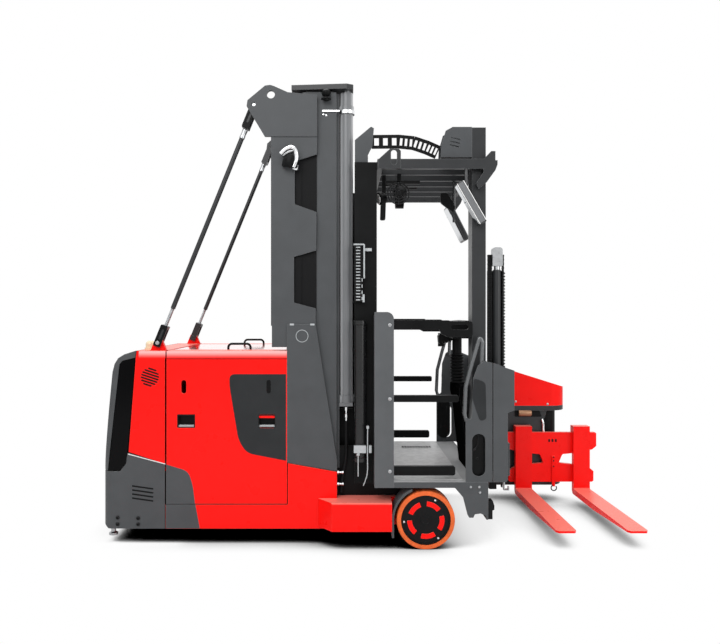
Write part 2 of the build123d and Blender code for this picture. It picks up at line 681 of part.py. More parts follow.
def crosshead():
    """Top plate that the lift rods push up."""
    nose = 44.0
    outline = [
        (-575, -MAST_HALF), (CYL_X, -MAST_HALF - 34), (CYL_X + nose, -MAST_HALF - 10),
        (CYL_X + nose, -CYL_Y + 70), (MAST_FRONT_X + 30, -CYL_Y + 110),
        (MAST_FRONT_X + 30, CYL_Y - 110), (CYL_X + nose, CYL_Y - 70), (CYL_X + nose, MAST_HALF + 10),
        (CYL_X, MAST_HALF + 34), (-575, MAST_HALF),
    ]
    return flat_plate(outline, CROSSHEAD_Z, CROSSHEAD_Z + CROSSHEAD_THICK)


def lift_rods():
    rod = rod_z(CYL_X, -CYL_Y, ROD_R, CYL_FOOT_Z + 70, CROSSHEAD_Z)
    return both(rod)


def mast_chains():
    """Two lift chains with their sheaves on the inner mast."""
    x = MAST_FRONT_X - 20
    chains = []
    for y in (-330.0, 330.0):
        sheave = rod_y(x - 40, CROSSHEAD_Z - 70, 50, y - 16, y + 16)
        chain = block(x + 2, x + 12, y - 14, y + 14, 930, CROSSHEAD_Z - 70)
        hanger = block(x - 110, x - 20, y - 26, y - 18, CROSSHEAD_Z - 80, CROSSHEAD_Z)
        hanger += block(x - 110, x - 20, y + 18, y + 26, CROSSHEAD_Z - 80, CROSSHEAD_Z)
        hanger += rod_y(x - 40, CROSSHEAD_Z - 70, 12, y - 26, y + 26)
        chains += (sheave + chain + hanger).solids()
    return Compound(children=chains)


# Operator's cab

def cab_back():
    """Back wall between the mast and the operator, with its side cheeks and roller carriage."""
    lip = MAST_HALF - UPRIGHT_WALL - STAGE_GAP - 80
    back = block(CAB_WALL_X - 12, CAB_WALL_X, -BACK_HALF, BACK_HALF, FLOOR_Z - FLOOR_THICK, ROOF_Z)
    for side in (-1, 1):
        low, high = sorted((side * (BACK_HALF - SHEET), side * BACK_HALF))
        back += block(CAB_BACK_X, CAB_WALL_X, low, high, FLOOR_Z - FLOOR_THICK, ROOF_Z + ROOF_DEPTH)
    for side in (-1, 1):
        low, high = sorted((side * (lip - 58), side * (lip - 28)))
        back += block(MAST_BACK_X + 80, CAB_WALL_X - 11, low, high, FLOOR_Z - FLOOR_THICK, 880)
    return back + carriage_rollers()


def carriage_rollers():
    """Rollers of the cab carriage, inside the inner mast's channels."""
    play = UPRIGHT_WALL + STAGE_GAP
    x = (MAST_BACK_X + MAST_FRONT_X) / 2
    r = (MAST_FRONT_X - MAST_BACK_X) / 2 - play - UPRIGHT_WALL - 0.5
    lip = MAST_HALF - UPRIGHT_WALL - STAGE_GAP - 80
    rollers = None
    for side in (-1, 1):
        for z in (460.0, 800.0):
            low, high = sorted((side * (lip - 28), side * (MAST_HALF - play - UPRIGHT_WALL - 6)))
            roller = rod_y(x, z, r, low, high)
            rollers = roller if rollers is None else rollers + roller
    return rollers


def cab_floor():
    """Platform tray: side rails, stiffened plate and the deep brackets at its front corners."""
    low_z = FLOOR_Z - FLOOR_THICK
    tray = block(CAB_WALL_X, FLOOR_FRONT_X, -CAB_HALF, CAB_HALF, low_z, FLOOR_Z)
    tray -= block(
        CAB_WALL_X + 12, FLOOR_FRONT_X - 12, -CAB_HALF + 12, CAB_HALF - 12, low_z - 1, FLOOR_Z - 10
    )
    for side in (-1, 1):
        near, far = sorted((side * (CAB_HALF - SHEET), side * (CAB_HALF + 1)))
        tray -= block(CAB_WALL_X - 1, POST_FRONT_X, near, far, low_z - 1, FLOOR_Z + 1)
    bracket = [
        (490, FLOOR_Z - 20), (490, low_z + 3), (504, 400), (555, 340), (584, 226), (594, 209),
        (621, 209), (631, 231), (668, 236), (705, 221), (FLOOR_FRONT_X, 221), (FLOOR_FRONT_X, FLOOR_Z - 20),
    ]
    for side in (-1, 1):
        near, far = sorted((side * (CAB_HALF - 12), side * CAB_HALF))
        tray += side_plate(bracket, near, far)
        near, far = sorted((side * (CAB_HALF - 130), side * CAB_HALF))
        tray += block(FLOOR_FRONT_X - 12, FLOOR_FRONT_X, near, far, 196, FLOOR_Z)
    return tray


def floor_buffers():
    """Rubber stops on the front brackets and the stop beam under the floor's front edge."""
    stops = []
    side = [
        (FLOOR_FRONT_X, 196), (748, 196), (748, 253), (760, 258), (760, 285), (750, 315),
        (FLOOR_FRONT_X, 315),
    ]
    stops += side_plate(side, -CAB_HALF + 10, -CAB_HALF + 80).solids()
    stops += side_plate(side, CAB_HALF - 80, CAB_HALF - 10).solids()
    stops += block(FLOOR_FRONT_X, 800, -360, 360, 385, 428).solids()
    return Compound(children=stops)


def floor_mat():
    """Ribbed standing plate."""
    edge = CAB_HALF - 60
    return block(POST_FRONT_X - 84, 560, -edge, edge, FLOOR_Z, FLOOR_Z + 5)


def cab_post():
    """Right rear post: folded cover that holds the gate arms' pivots."""
    y0, y1 = -CAB_HALF, -CAB_HALF + SHEET
    with BuildSketch(Plane(origin=(0, y1, 0), x_dir=(1, 0, 0), z_dir=(0, -1, 0))) as outline:
        with Locations(((POST_BACK_X + POST_FRONT_X) / 2, (FLOOR_Z - FLOOR_THICK + POST_TOP_Z) / 2)):
            Rectangle(POST_FRONT_X - POST_BACK_X, POST_TOP_Z - FLOOR_Z + FLOOR_THICK)
        corner = outline.vertices().sort_by(Axis.Y)[-2:].sort_by(Axis.X)[-1]
        fillet(corner, 46)
    post = extrude(outline.sketch, amount=y1 - y0)
    post += block(POST_BACK_X, CAB_WALL_X, y0, -BACK_HALF, FLOOR_Z - FLOOR_THICK, POST_TOP_Z - 20)
    for z, height, _front in GATE_ARMS.values():
        post += rod_y(GATE_PIVOT_X, z, 12, y1 - 1, -GATE_Y + GATE_THICK / 2 + 4)
    return post


def gate_arm(name, side):
    """One bar of a gate: round eye at the pivot, flat bar with a rounded nose."""
    z, height, front = GATE_ARMS[name]
    y0, y1 = -GATE_Y - GATE_THICK / 2 + 5, -GATE_Y + GATE_THICK / 2 + 5
    bar = block(GATE_PIVOT_X, front, y0, y1, z - height / 2, z + height / 2)
    bar = fillet(bar.edges().filter_by(Axis.Y).group_by(Axis.X)[-1], height * 0.25)
    if name == "top":
        low, high = z - height / 2 - GATE_HEAD_DROP, z + height / 2 - 6
        head = side_plate(
            [
                (front - 90, z), (front - 60, low + 20), (front - 20, low), (front + GATE_HEAD, low),
                (front + GATE_HEAD, high), (front - 70, high),
            ], y0, y1,
        )
        head = fillet(head.edges().filter_by(Axis.Y).group_by(Axis.X)[-1], 20)
        bar += head
        bar -= slanted_slot(front + GATE_HEAD / 2 - 12, z - 14, 116, 34, 0, y0 - 1, y1 + 1)
    bar += rod_y(GATE_PIVOT_X, z, height / 2, y0, y1)
    bar -= rod_y(GATE_PIVOT_X, z, 12 + RUN_FIT, y0 - 1, y1 + 1)
    return bar if side < 0 else mirrored(bar)


def front_panel():
    """Right front side panel: handle notch, oval cut-out and sloped crown."""
    y0, y1 = -CAB_HALF, -CAB_HALF + SHEET
    panel = side_plate(
        [
            (PANEL_BACK_X, FLOOR_Z), (PANEL_BACK_X, 862), (600, 848), (612, 862), (620, 1111), (650, 1196),
            (690, PANEL_TOP_Z), (PANEL_FRONT_X, 1216), (PANEL_FRONT_X, FLOOR_Z),
        ], y0, y1,
    )
    panel -= rounded_slot(656, 616, 87, 277, y0 - 1, y1 + 1)
    panel += block(PANEL_FRONT_X - SHEET, PANEL_FRONT_X, y0, y0 + 30, FLOOR_Z, 1180)
    return panel


def grab_handle():
    """Right grab handle: bent tube along the notch of the side panel."""
    y = -CAB_HALF + 24.0
    r = 14.0
    points = [(568, 878), (576, 1057), (616, 1211), (655, 1345), (667, 1388), (684, 1350), (678, 1180)]
    path = FilletPolyline(*[(x, y, z) for x, z in points], radius=8)
    start = Plane(origin=(points[0][0], y, points[0][1]), z_dir=path % 0)
    handle = sweep(start * Circle(r), path=path)
    for x, z in ((678, 1190), (576, 840)):
        handle += rod_y(x, z, 8, -CAB_HALF + SHEET, y)
    handle += rod_between((568, y, 880), (580, y, 835), r * 0.9)
    return handle


def knee_wall():
    """Front console body: slanted knee wall before the operator, hollow behind."""
    outline = [
        (641, FLOOR_Z), (619, 637), (594, 867), (576, 968), (576, 1020), (590, COLUMN_FOOT), (650, COLUMN_FOOT),
        (701, 900), (701, FLOOR_Z),
    ]
    wall = side_plate(outline, KNEE_Y[0], KNEE_Y[1])
    hollow = side_plate(
        [
            (655, FLOOR_Z - 1), (634, 640), (610, 867), (592, 975), (592, 1012), (602, 1028), (640, 1028),
            (689, 896), (689, FLOOR_Z - 1),
        ], KNEE_Y[0] + 12, KNEE_Y[1] - 12,
    )
    return wall - hollow


def bellows():
    """Console column under its folded gaiter."""
    x, y, z0, pitch, folds = 594.0, COLUMN_Y, COLUMN_FOOT, 22.0, 9
    column = rod_z(x, y, 34, z0, 1365)
    for i in range(folds):
        z = z0 + pitch * i
        column += Pos(x, y, z + pitch / 2) * Cylinder(46 + (i % 2) * 4, pitch * 0.62)
    return column


def console():
    """Operating console on the column, with the steering grip on its operator's side."""
    desk = side_plate(
        [
            (492, 1425), (500, 1478), (650, 1489), (668, 1470), (668, 1385), (640, 1365), (530, 1365),
        ], NECK_IN_Y + 12, COLUMN_Y + 250,
    )
    desk = fillet(desk.edges().filter_by(Axis.Y), 6)
    y = COLUMN_Y + 190
    grip = rod_z(508, y, 26, 1292, 1372)
    grip += block(486, 560, y - 26, y + 26, 1360, 1392)
    return desk + grip


def roof_frame():
    """Overhead guard: side rails, cross members, longitudinal bars and the lifting tabs."""
    top = ROOF_Z + ROOF_DEPTH
    rail = 34.0
    roof = block(ROOF_BACK_X, ROOF_FRONT_X, -CAB_HALF + 30, CAB_HALF - 30, ROOF_Z, top)
    roof -= block(ROOF_BACK_X + rail, ROOF_FRONT_X - rail, -CAB_HALF + 30 + rail, CAB_HALF - 30 - rail, ROOF_Z - 1, top + 1)
    for y in ROOF_BARS_Y:
        roof += block(ROOF_BACK_X + rail - 1, ROOF_FRONT_X - rail + 1, y - ROOF_BAR / 2, y + ROOF_BAR / 2, ROOF_Z + 8, top - 8)
    tab = side_plate(
        [(5, top - 4), (80, top + 64), (138, top + 64), (151, top + 50), (151, ROOF_Z), (5, ROOF_Z)],
        -CAB_HALF + 22, -CAB_HALF + 32,
    )
    tab -= rounded_slot(106, top + 8, 39, 99, -CAB_HALF + 21, -CAB_HALF + 33)
    roof += tab + mirrored(tab)
    roof -= block(
        COLUMN_BACK_X - SEAM, ROOF_FRONT_X + 1, COLUMN_OUT_Y - SEAM, NECK_IN_Y + 10, ROOF_Z - 1, top + 1
    )
    return roof + roof_gusset()


def roof_gusset():
    """Wedge-shaped horns at the front ends of the two side rails."""
    outline = [
        (ROOF_FRONT_X, ROOF_Z - 22), (646, 2392), (660, 2352), (714, 2397), (771, 2476), (785, 2512),
        (785, 2541), (771, 2541), (771, 2601), (744, 2601), (706, 2562), (ROOF_FRONT_X, ROOF_Z + ROOF_DEPTH),
    ]
    horn = side_plate(outline, -CAB_HALF + 30, -CAB_HALF + 64)
    return horn + mirrored(horn)


def mirrors():
    """Two tilted mirrors under the roof: one among the bars, one at the right side rail."""
    pieces = []
    side = -CAB_HALF + 30
    for x, y, z, length, width, thick, tilt, bar in (
        (606.0, -130.0, 2198.0, 285.0, 190.0, 40.0, -27.0, ROOF_BARS_Y[1] + 9),
        (612.0, COLUMN_OUT_Y - 42, 2262.0, 310.0, 74.0, 54.0, -30.0, side + 17),
    ):
        panel = Pos(x, y, z) * Rot(0, tilt, 0) * Box(thick, width, length)
        panel = fillet(panel.edges().filter_by(GeomType.LINE), 8)
        stalk = rod_z(x - 30, bar, 11, z, ROOF_Z if bar < ROOF_BARS_Y[0] else ROOF_Z + 8)
        pieces += (panel + stalk).solids()
    return Compound(children=pieces)


def cab_fan():
    """Round fan under the roof's rear corner."""
    x, y, z, r = 197.0, ROOF_BARS_Y[2], 2404.0, 74.0
    ring = rod_x(y, z, r, x - 30, x + 30) - rod_x(y, z, r - 9, x - 31, x + 31)
    for i in range(4):
        ring += Pos(x, y, z) * Rot(45 * i, 0, 0) * Box(8, 8, 2 * r - 10)
    hub = rod_x(y, z, 28, x - 26, x + 26)
    stem = block(x - 10, x + 10, y - 12, y + 12, z + r - 6, ROOF_Z + 8)
    return ring + hub + stem


def aux_column():
    """Single column on the right that guides the traverse frame: box with a slot on its inner side."""
    x_mid = (COLUMN_BACK_X + COLUMN_FRONT_X) / 2
    column = block(
        COLUMN_BACK_X, COLUMN_FRONT_X, COLUMN_OUT_Y, COLUMN_IN_Y, COLUMN_FOOT_Z, COLUMN_TOP_Z
    )
    column -= block(
        COLUMN_BACK_X + COLUMN_WALL, COLUMN_FRONT_X - COLUMN_WALL, COLUMN_OUT_Y + COLUMN_WALL,
        COLUMN_IN_Y - COLUMN_WALL, COLUMN_FOOT_Z - 1, COLUMN_TOP_Z + 1,
    )
    column -= block(
        x_mid - COLUMN_SLOT / 2, x_mid + COLUMN_SLOT / 2, COLUMN_IN_Y - COLUMN_WALL - 1,
        COLUMN_IN_Y + 1, COLUMN_FOOT_Z - 1, COLUMN_TOP_Z + 1,
    )
    return column


def aux_cylinder():
    """Barrel of the auxiliary lift, standing on its foot beside the column."""
    barrel = rod_z(AUX_CYL_X, AUX_CYL_Y, AUX_CYL_R, COLUMN_FOOT_Z + 40, AUX_CYL_TOP_Z)
    barrel += block(COLUMN_FRONT_X, AUX_CYL_X + 34, AUX_CYL_Y - 34, AUX_CYL_Y + 34, COLUMN_FOOT_Z + 20, COLUMN_FOOT_Z + 44)
    barrel -= rod_z(AUX_CYL_X, AUX_CYL_Y, AUX_ROD_R + RUN_FIT, COLUMN_FOOT_Z + 90, AUX_CYL_TOP_Z + 1)
    return barrel


def aux_rod():
    """Rod with its chain sheave and pale end cap."""
    rod = rod_z(AUX_CYL_X, AUX_CYL_Y, AUX_ROD_R, COLUMN_FOOT_Z + 100, AUX_TOP_Z - 120)
    head = block(AUX_CYL_X - 34, AUX_CYL_X + 34, AUX_CYL_Y - 28, AUX_CYL_Y + 28, AUX_TOP_Z - 125, AUX_TOP_Z)
    head = fillet(head.edges().filter_by(Axis.Y).group_by(Axis.Z)[-1], 20)
    return rod + head


def aux_chain():
    """Leaf chain run over the rod head and down both sides of the barrel."""
    y0, y1 = AUX_CYL_Y - CHAIN_WIDTH / 2, AUX_CYL_Y + CHAIN_WIDTH / 2
    back, front = AUX_CYL_X - 34, AUX_CYL_X + 34
    chain = block(back - 28, back, y0, y1, 700, AUX_TOP_Z - 40)
    chain += block(front, front + 12, y0, y1, 1120, AUX_TOP_Z - 40)
    return chain


def column_head():
    """Vented cable cover plate at the top of the auxiliary column."""
    plate = side_plate(
        [(421, 2573), (425, 2650), (453, 2748), (500, 2774), (COLUMN_BACK_X, 2774), (COLUMN_BACK_X, 2573)],
        COLUMN_OUT_Y, COLUMN_OUT_Y + 6,
    )
    plate += side_plate(
        [(421, 2573), (425, 2650), (453, 2748), (500, 2774), (COLUMN_BACK_X, 2774), (COLUMN_BACK_X, 2573)],
        COLUMN_IN_Y - 6, COLUMN_IN_Y,
    )
    plate += block(424, COLUMN_BACK_X, COLUMN_OUT_Y + 2, COLUMN_IN_Y - 2, 2573, 2579)
    for i in range(3):
        slot = Box(66, 20, 9)
        plate -= Pos(512 + 4 * i, COLUMN_OUT_Y, 2648 + 24 * i) * Rot(0, 13, 0) * slot
    return plate


def cable_bracket():
    """Swept plate on the back wall that holds the cable chain's fixed end."""
    return side_plate(
        [(-148, ROOF_Z), (-148, 2700), (-40, 2790), (-20, 2780), (-30, 2660), (-60, 2600), (-60, ROOF_Z)],
        -586, -578,
    )


def cable_chain():
    """Cable carrier across the roof, from the back wall to the auxiliary column: a run of open links."""
    path = [(-30, 2702), (150, 2704), (250, 2694), (340, 2664), (412, 2632)]
    links = []
    count = 13
    for i in range(count):
        s = i / (count - 1) * (len(path) - 1)
        k = min(int(s), len(path) - 2)
        share = s - k
        x = path[k][0] * (1 - share) + path[k + 1][0] * share
        z = path[k][1] * (1 - share) + path[k + 1][1] * share
        links.append((x, z))
    middle = COLUMN_IN_Y - 6 - CABLE_CHAIN / 2
    chain = None
    for (xa, za), (xb, zb) in zip(links, links[1:]):
        tilt = math.degrees(math.atan2(za - zb, xb - xa))
        length = math.hypot(xb - xa, zb - za)
        link = Box(length + 6, CABLE_CHAIN, LINK_HEIGHT)
        link -= Box(length * LINK_OPEN, CABLE_CHAIN + 2, LINK_HEIGHT - 2 * LINK_EDGE)
        link = Pos((xa + xb) / 2, middle, (za + zb) / 2) * Rot(0, tilt, 0) * link
        chain = link if chain is None else chain + link
    return chain


# Traverse frame

def traverse_frame():
    """Lifted frame: two box beams behind tall rails, uprights between them, and end cheeks.
    The lower rail ends beside the auxiliary column."""
    back = RAIL_BACK_X - 25
    near = COLUMN_IN_Y + 6
    rail_end = COLUMN_OUT_Y + 40
    far = FRAME_HALF - SHEET
    frame = block(back, RAIL_BACK_X, near, far, UPPER_BEAM_Z + 40, UPPER_BEAM_Z + 180)
    frame += block(back, RAIL_BACK_X, near, far, LOWER_BEAM_Z + 20, LOWER_BEAM_Z + 140)
    for y in (near + 30, 60.0, far - 60):
        frame += block(back, RAIL_BACK_X, y - 30, y + 30, LOWER_BEAM_Z + 20, UPPER_BEAM_Z + 180)
    frame += block(RAIL_BACK_X, RAIL_FRONT_X, -far, far, UPPER_BEAM_Z, UPPER_BEAM_TOP)
    frame += block(RAIL_BACK_X, RAIL_FRONT_X, rail_end, far, LOWER_BEAM_Z, LOWER_BEAM_TOP)
    cheek = side_plate(
        [
            (FRAME_BACK_X, FRAME_FOOT_Z), (FRAME_BACK_X, 1215), (780, 1206), (839, 1181),
            (RAIL_FRONT_X, 1166), (RAIL_FRONT_X, UPPER_BEAM_Z), (845, UPPER_BEAM_Z - 14),
            (845, FRAME_FOOT_Z + 14), (833, FRAME_FOOT_Z),
        ], -FRAME_HALF, -FRAME_HALF + SHEET,
    )
    return frame + cheek + mirrored(cheek) + lift_neck()


def lift_neck():
    """Neck plate and roller axles that carry the traverse frame inside the column."""
    y0 = COLUMN_IN_Y + 6
    neck = block(COLUMN_BACK_X + 10, RAIL_BACK_X, y0, NECK_IN_Y, 470, 1000)
    x = (COLUMN_FRONT_X + COLUMN_BACK_X) / 2
    r = (COLUMN_FRONT_X - COLUMN_BACK_X) / 2 - COLUMN_WALL - 0.5
    for z in (520.0, 950.0):
        neck += rod_y(x, z, 16, COLUMN_OUT_Y + COLUMN_WALL + 8, y0 + 1)
        neck += rod_y(x, z, r, COLUMN_OUT_Y + COLUMN_WALL + 8, COLUMN_IN_Y - COLUMN_WALL - 8)
    return neck


# Fork head

def arm_outline(half, x_back):
    """Plan outline of the arm: straight sides and a round nose about the pivot."""
    with BuildLine() as line:
        Polyline((x_back, PIVOT_Y - half), (PIVOT_X, PIVOT_Y - half))
        RadiusArc((PIVOT_X, PIVOT_Y - half), (PIVOT_X, PIVOT_Y + half), -half)
        Polyline((PIVOT_X, PIVOT_Y + half), (x_back, PIVOT_Y + half), (x_back, PIVOT_Y - half))
    return make_face(line.line)


def turret_arm():
    """Arm that slides on the rails: back plate, side plates, rim plate above and pivot shelf below."""
    back = RAIL_FRONT_X + 6
    arm = block(back, back + 30, PIVOT_Y - HOOD_HALF, PIVOT_Y + HOOD_HALF, ARM_FOOT_Z, HOOD_RIM_Z + 300)
    side = [
        (back, ARM_FOOT_Z), (back, HOOD_RIM_Z), (1444, HOOD_RIM_Z), (1430, 690), (1406, 640),
        (1406, 190), (1390, 160), (1390, ARM_FOOT_Z),
    ]
    for sign in (-1, 1):
        low, high = sorted((PIVOT_Y + sign * (ARM_HALF - ARM_WALL), PIVOT_Y + sign * ARM_HALF))
        arm += side_plate(side, low, high)
    rim = Pos(0, 0, HOOD_RIM_Z) * extrude(arm_outline(HOOD_HALF, back), amount=HOOD_FOOT_Z - HOOD_RIM_Z)
    shelf = Pos(0, 0, ARM_FOOT_Z) * extrude(arm_outline(ARM_HALF, back), amount=24)
    arm += rim + shelf
    pad_y = HOOD_HALF - 20
    for z in (UPPER_BEAM_Z + 20, UPPER_BEAM_TOP - 130, LOWER_BEAM_Z + 20, LOWER_BEAM_TOP - 50):
        arm += block(RAIL_FRONT_X + SEAT_FIT, back, PIVOT_Y - pad_y, PIVOT_Y + pad_y, z, z + 30)
    arm -= rod_z(PIVOT_X, PIVOT_Y, 40 + RUN_FIT, ARM_FOOT_Z - 1, HOOD_FOOT_Z + 1)
    return arm


def turret_hood():
    """Wedge-shaped cover over the swivel drive, round at the nose."""
    back = RAIL_FRONT_X + 36
    top = HOOD_TIP_Z + HOOD_SLOPE * (PIVOT_X + HOOD_HALF - back)
    hood = Pos(0, 0, HOOD_FOOT_Z) * extrude(arm_outline(HOOD_HALF, back), amount=top - HOOD_FOOT_Z)
    inner = Pos(0, 0, HOOD_FOOT_Z - 1) * extrude(arm_outline(HOOD_HALF - 6, back + 6), amount=top - HOOD_FOOT_Z)
    wedge = side_plate(
        [(back - 1, HOOD_FOOT_Z - 2), (PIVOT_X + HOOD_HALF + 1, HOOD_FOOT_Z - 2), (PIVOT_X + HOOD_HALF + 1, HOOD_TIP_Z), (back - 1, top)],
        PIVOT_Y - HOOD_HALF - 1, PIVOT_Y + HOOD_HALF + 1,
    )
    return (hood & wedge) - (inner & (Pos(0, 0, -6) * wedge))


def fork_carriage():
    """Fork plate with its notches, bracket and the pivot post that turns in the arm."""
    y1 = PIVOT_Y - PLATE_OFFSET
    y0 = y1 - FORK_PLATE_THICK
    top, foot, half = CARRIAGE_TOP_Z, CARRIAGE_FOOT_Z, CARRIAGE_HALF
    low_half = half - 23
    middle = 356.0
    notch = [(0, -102), (-34, -74), (-182, -45), (-272, -36), (-280, -28)]
    right = [(low_half, foot + 10)]
    right += [(low_half + dx, middle + dz) for dx, dz in notch]
    right += [(half + dx, middle - dz) for dx, dz in reversed(notch)]
    right += [(half, top - 8), (half - 10, top)]
    outline = [(PIVOT_X + x, z) for x, z in [(low_half - 12, foot)] + right]
    outline += [(PIVOT_X - x, z) for x, z in reversed([(low_half - 12, foot)] + right)]
    plate = side_plate(outline, y0, y1)
    plate += block(PIVOT_X + 4, PIVOT_X + 28, y0 - 14, y0, FORK_TOP_Z + 12, 378)
    post = rod_z(PIVOT_X, PIVOT_Y, PIVOT_R, ARM_FOOT_Z + 24 + RUN_FIT, HOOD_RIM_Z - RUN_FIT)
    post += rod_z(PIVOT_X, PIVOT_Y, 40, ARM_FOOT_Z + 4, HOOD_FOOT_Z - 4)
    bracket = block(PIVOT_X - 50, PIVOT_X + 50, y1, PIVOT_Y - 56, 190, 520)
    return plate + post + bracket


def forks():
    """Two L-shaped forks hooked over the fork plate."""
    y_face = PIVOT_Y - PLATE_OFFSET - FORK_PLATE_THICK
    heel = FORK_TOP_Z - FORK_THICK
    pieces = []
    for sign in (-1, 1):
        x = PIVOT_X + sign * FORK_HALF_SPACING
        left, right = x - FORK_WIDTH / 2, x + FORK_WIDTH / 2
        back = y_face - FORK_THICK
        blade = front_plate(
            [
                (y_face, heel), (y_face, SHANK_TOP_Z), (back, SHANK_TOP_Z), (back, FORK_TOP_Z),
                (back - FORK_LENGTH, FORK_TOP_Z), (back - FORK_LENGTH, FORK_TOP_Z - FORK_TIP_THICK),
                (y_face - FORK_LENGTH * 0.45, heel),
            ], left, right,
        )
        corners = blade.edges().filter_by(Axis.X)
        outer = corners.sort_by_distance(Vertex(x, y_face, heel))[0]
        blade = fillet(outer, HEEL_ROUND)
        inner = blade.edges().filter_by(Axis.X).sort_by_distance(Vertex(x, back, FORK_TOP_Z))[0]
        blade = fillet(inner, HEEL_ROUND / 3)
        tip = back - FORK_LENGTH
        for corner in (-1, 1):
            edge = x + corner * FORK_WIDTH / 2
            cut = flat_plate(
                [(edge, tip - 1), (edge - corner * 14, tip - 1), (edge - corner * 14, tip), (edge, tip + 24)],
                heel - 1, FORK_TOP_Z + 1,
            )
            blade -= cut
        hook = block(x - FORK_WIDTH / 2, x + FORK_WIDTH / 2, y_face, y_face + FORK_PLATE_THICK, CARRIAGE_TOP_Z, SHANK_TOP_Z)
        pieces += (blade + hook).solids()
    return Compound(children=pieces)


NODES = {
    "chassis_frame": chassis_frame,
    "battery": battery,
    "battery_door_right": side_door,
    "battery_door_left": lambda: mirrored(side_door()),
    "battery_lid": battery_lid,
    "lid_handles": lid_handles,
    "rear_bumper": rear_bumper,
    "rear_cowl": rear_cowl,
    "rear_window": rear_window,
    "rear_crown": rear_crown,
    "rear_lining": rear_lining,
    "beacon": beacon,
    "load_legs": lambda: both(load_leg()),
    "wheel_fenders": lambda: both(wheel_fender()),
    "load_rim_right": lambda: load_rim(-1),
    "load_rim_left": lambda: load_rim(1),
    "load_tyre_right": lambda: load_tyre(-1),
    "load_tyre_left": lambda: load_tyre(1),
    "drive_unit": drive_unit,
    "drive_rim": drive_rim,
    "drive_tyre": drive_tyre,
    "mast_outer": mast_outer,
    "mast_side_plates": lambda: both(mast_side_plate() + head_lug()),
    "mast_stays": lambda: both(stay()),
    "lift_cylinders": lambda: both(lift_cylinder()),
    "mast_inner": mast_inner,
    "lift_rods": lift_rods,
    "mast_chains": mast_chains,
    "cab_back": cab_back,
    "cab_floor": cab_floor,
    "floor_buffers": floor_buffers,
    "floor_mat": floor_mat,
    "cab_posts": lambda: both(cab_post()),
    "front_panels": lambda: both(front_panel()),
    "grab_handles": lambda: both(grab_handle()),
    "knee_wall": knee_wall,
    "bellows": bellows,
    "console": console,
    "roof_frame": roof_frame,
    "mirrors": mirrors,
    "cab_fan": cab_fan,
    "aux_column": aux_column,
    "aux_cylinder": aux_cylinder,
    "aux_rod": aux_rod,
    "aux_chain": aux_chain,
    "column_head": column_head,
    "cable_bracket": cable_bracket,
    "cable_chain": cable_chain,
    "traverse_frame": traverse_frame,
    "turret_arm": turret_arm,
    "turret_hood": turret_hood,
    "fork_carriage": fork_carriage,
    "forks": forks,
}
for arm in GATE_ARMS:
    for word, side in (("right", -1), ("left", 1)):
        NODES[f"gate_{word}_{arm}"] = lambda arm=arm, side=side: gate_arm(arm, side)


os.makedirs("parts", exist_ok=True)
for name, make in NODES.items():
    export_step(make(), f"parts/{name}.step")
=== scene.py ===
"""Studio picture of a man-up turret truck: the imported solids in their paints, with the small fittings
that a plain solid doesn't carry. Metres, +X towards the forks, +Y to the truck's left, +Z up."""

import math

import bpy
import numpy as np
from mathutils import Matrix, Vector
from mathutils.geometry import tessellate_polygon


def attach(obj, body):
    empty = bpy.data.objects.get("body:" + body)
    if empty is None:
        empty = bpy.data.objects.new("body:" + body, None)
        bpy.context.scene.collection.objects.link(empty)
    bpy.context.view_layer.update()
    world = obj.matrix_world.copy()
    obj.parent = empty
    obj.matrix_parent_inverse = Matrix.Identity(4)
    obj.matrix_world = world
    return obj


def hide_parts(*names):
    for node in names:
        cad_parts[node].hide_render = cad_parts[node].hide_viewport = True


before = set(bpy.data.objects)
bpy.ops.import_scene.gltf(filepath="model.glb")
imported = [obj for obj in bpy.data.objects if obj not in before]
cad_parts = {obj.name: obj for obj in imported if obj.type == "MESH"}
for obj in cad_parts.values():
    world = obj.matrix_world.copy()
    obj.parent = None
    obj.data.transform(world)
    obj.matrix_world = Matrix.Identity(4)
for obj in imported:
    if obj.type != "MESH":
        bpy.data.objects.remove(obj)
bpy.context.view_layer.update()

MM = 0.001

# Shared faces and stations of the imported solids, in mm
SIDE = -600.0                  # right face of the body
OUT = -725.0                   # outer face of the cab's posts and front panels
DOOR_BACK = -1406.0            # rear edge of the door's fields
DOOR_FRONT = -603.0            # front edge of the door's fields
SHOULDER_Z = (1237.0, 1286.0)  # height over which a painted highlight turns the body's shoulder paler
FIELD_THICK = 0.8
GRIPS_X = (-1276.0, -736.0)
GRIP_Z = 817.0                 # middle height of the grips
LOAD_AXLE = (313.0, 190.0)     # X and Z of the load wheel's axle
WHEEL_FACE = -713.0            # outer face of the load wheel's disc
BARREL_AXIS = (-202.0, -515.0)  # X and Y of the right lift cylinder
LAMP_GUARD = (146.0, -566.0, 2346.0)  # centre of the wire guard
NEAR_MIRROR = ((612, -682, 2262), (0, 1, 0), -30)  # centre, axis and tilt
FAR_MIRROR = ((606, -130, 2198), (0, 1, 0), -27)
PLATE_FACE = 415.0             # near face of the fork plate
RIGHTWARDS = (0, -1, 0)        # outward direction of the right side
UP = (0, 0, 1)

# Shared settings of the finishes
UPWARD_FROM = 0.15             # upward part of the normal at which the painted top highlight starts
SIDEWAYS_FROM = 0.55           # fore-and-aft part of the normal at which the painted side highlight starts
COAT_ROUGH = 0.10
GRAIN_SCALE = 420.0

# Studio: shades of the floor as (reach in metres, occlusion of the darkest part, of the clear floor)
NEAR_SHADE = (0.42, 0.12, 0.80)
WIDE_SHADE = (3.0, 0.24, 0.50)
WIDE_SHADE_FADE = (0.15, 0.75, 0.82)  # X in metres where it starts to fade and ends, and how far it fades
SHADE_SAMPLES = 24
FLOOR_WHITE = 0.90
AIR_LIGHT = 0.50               # strength of the white air as a light

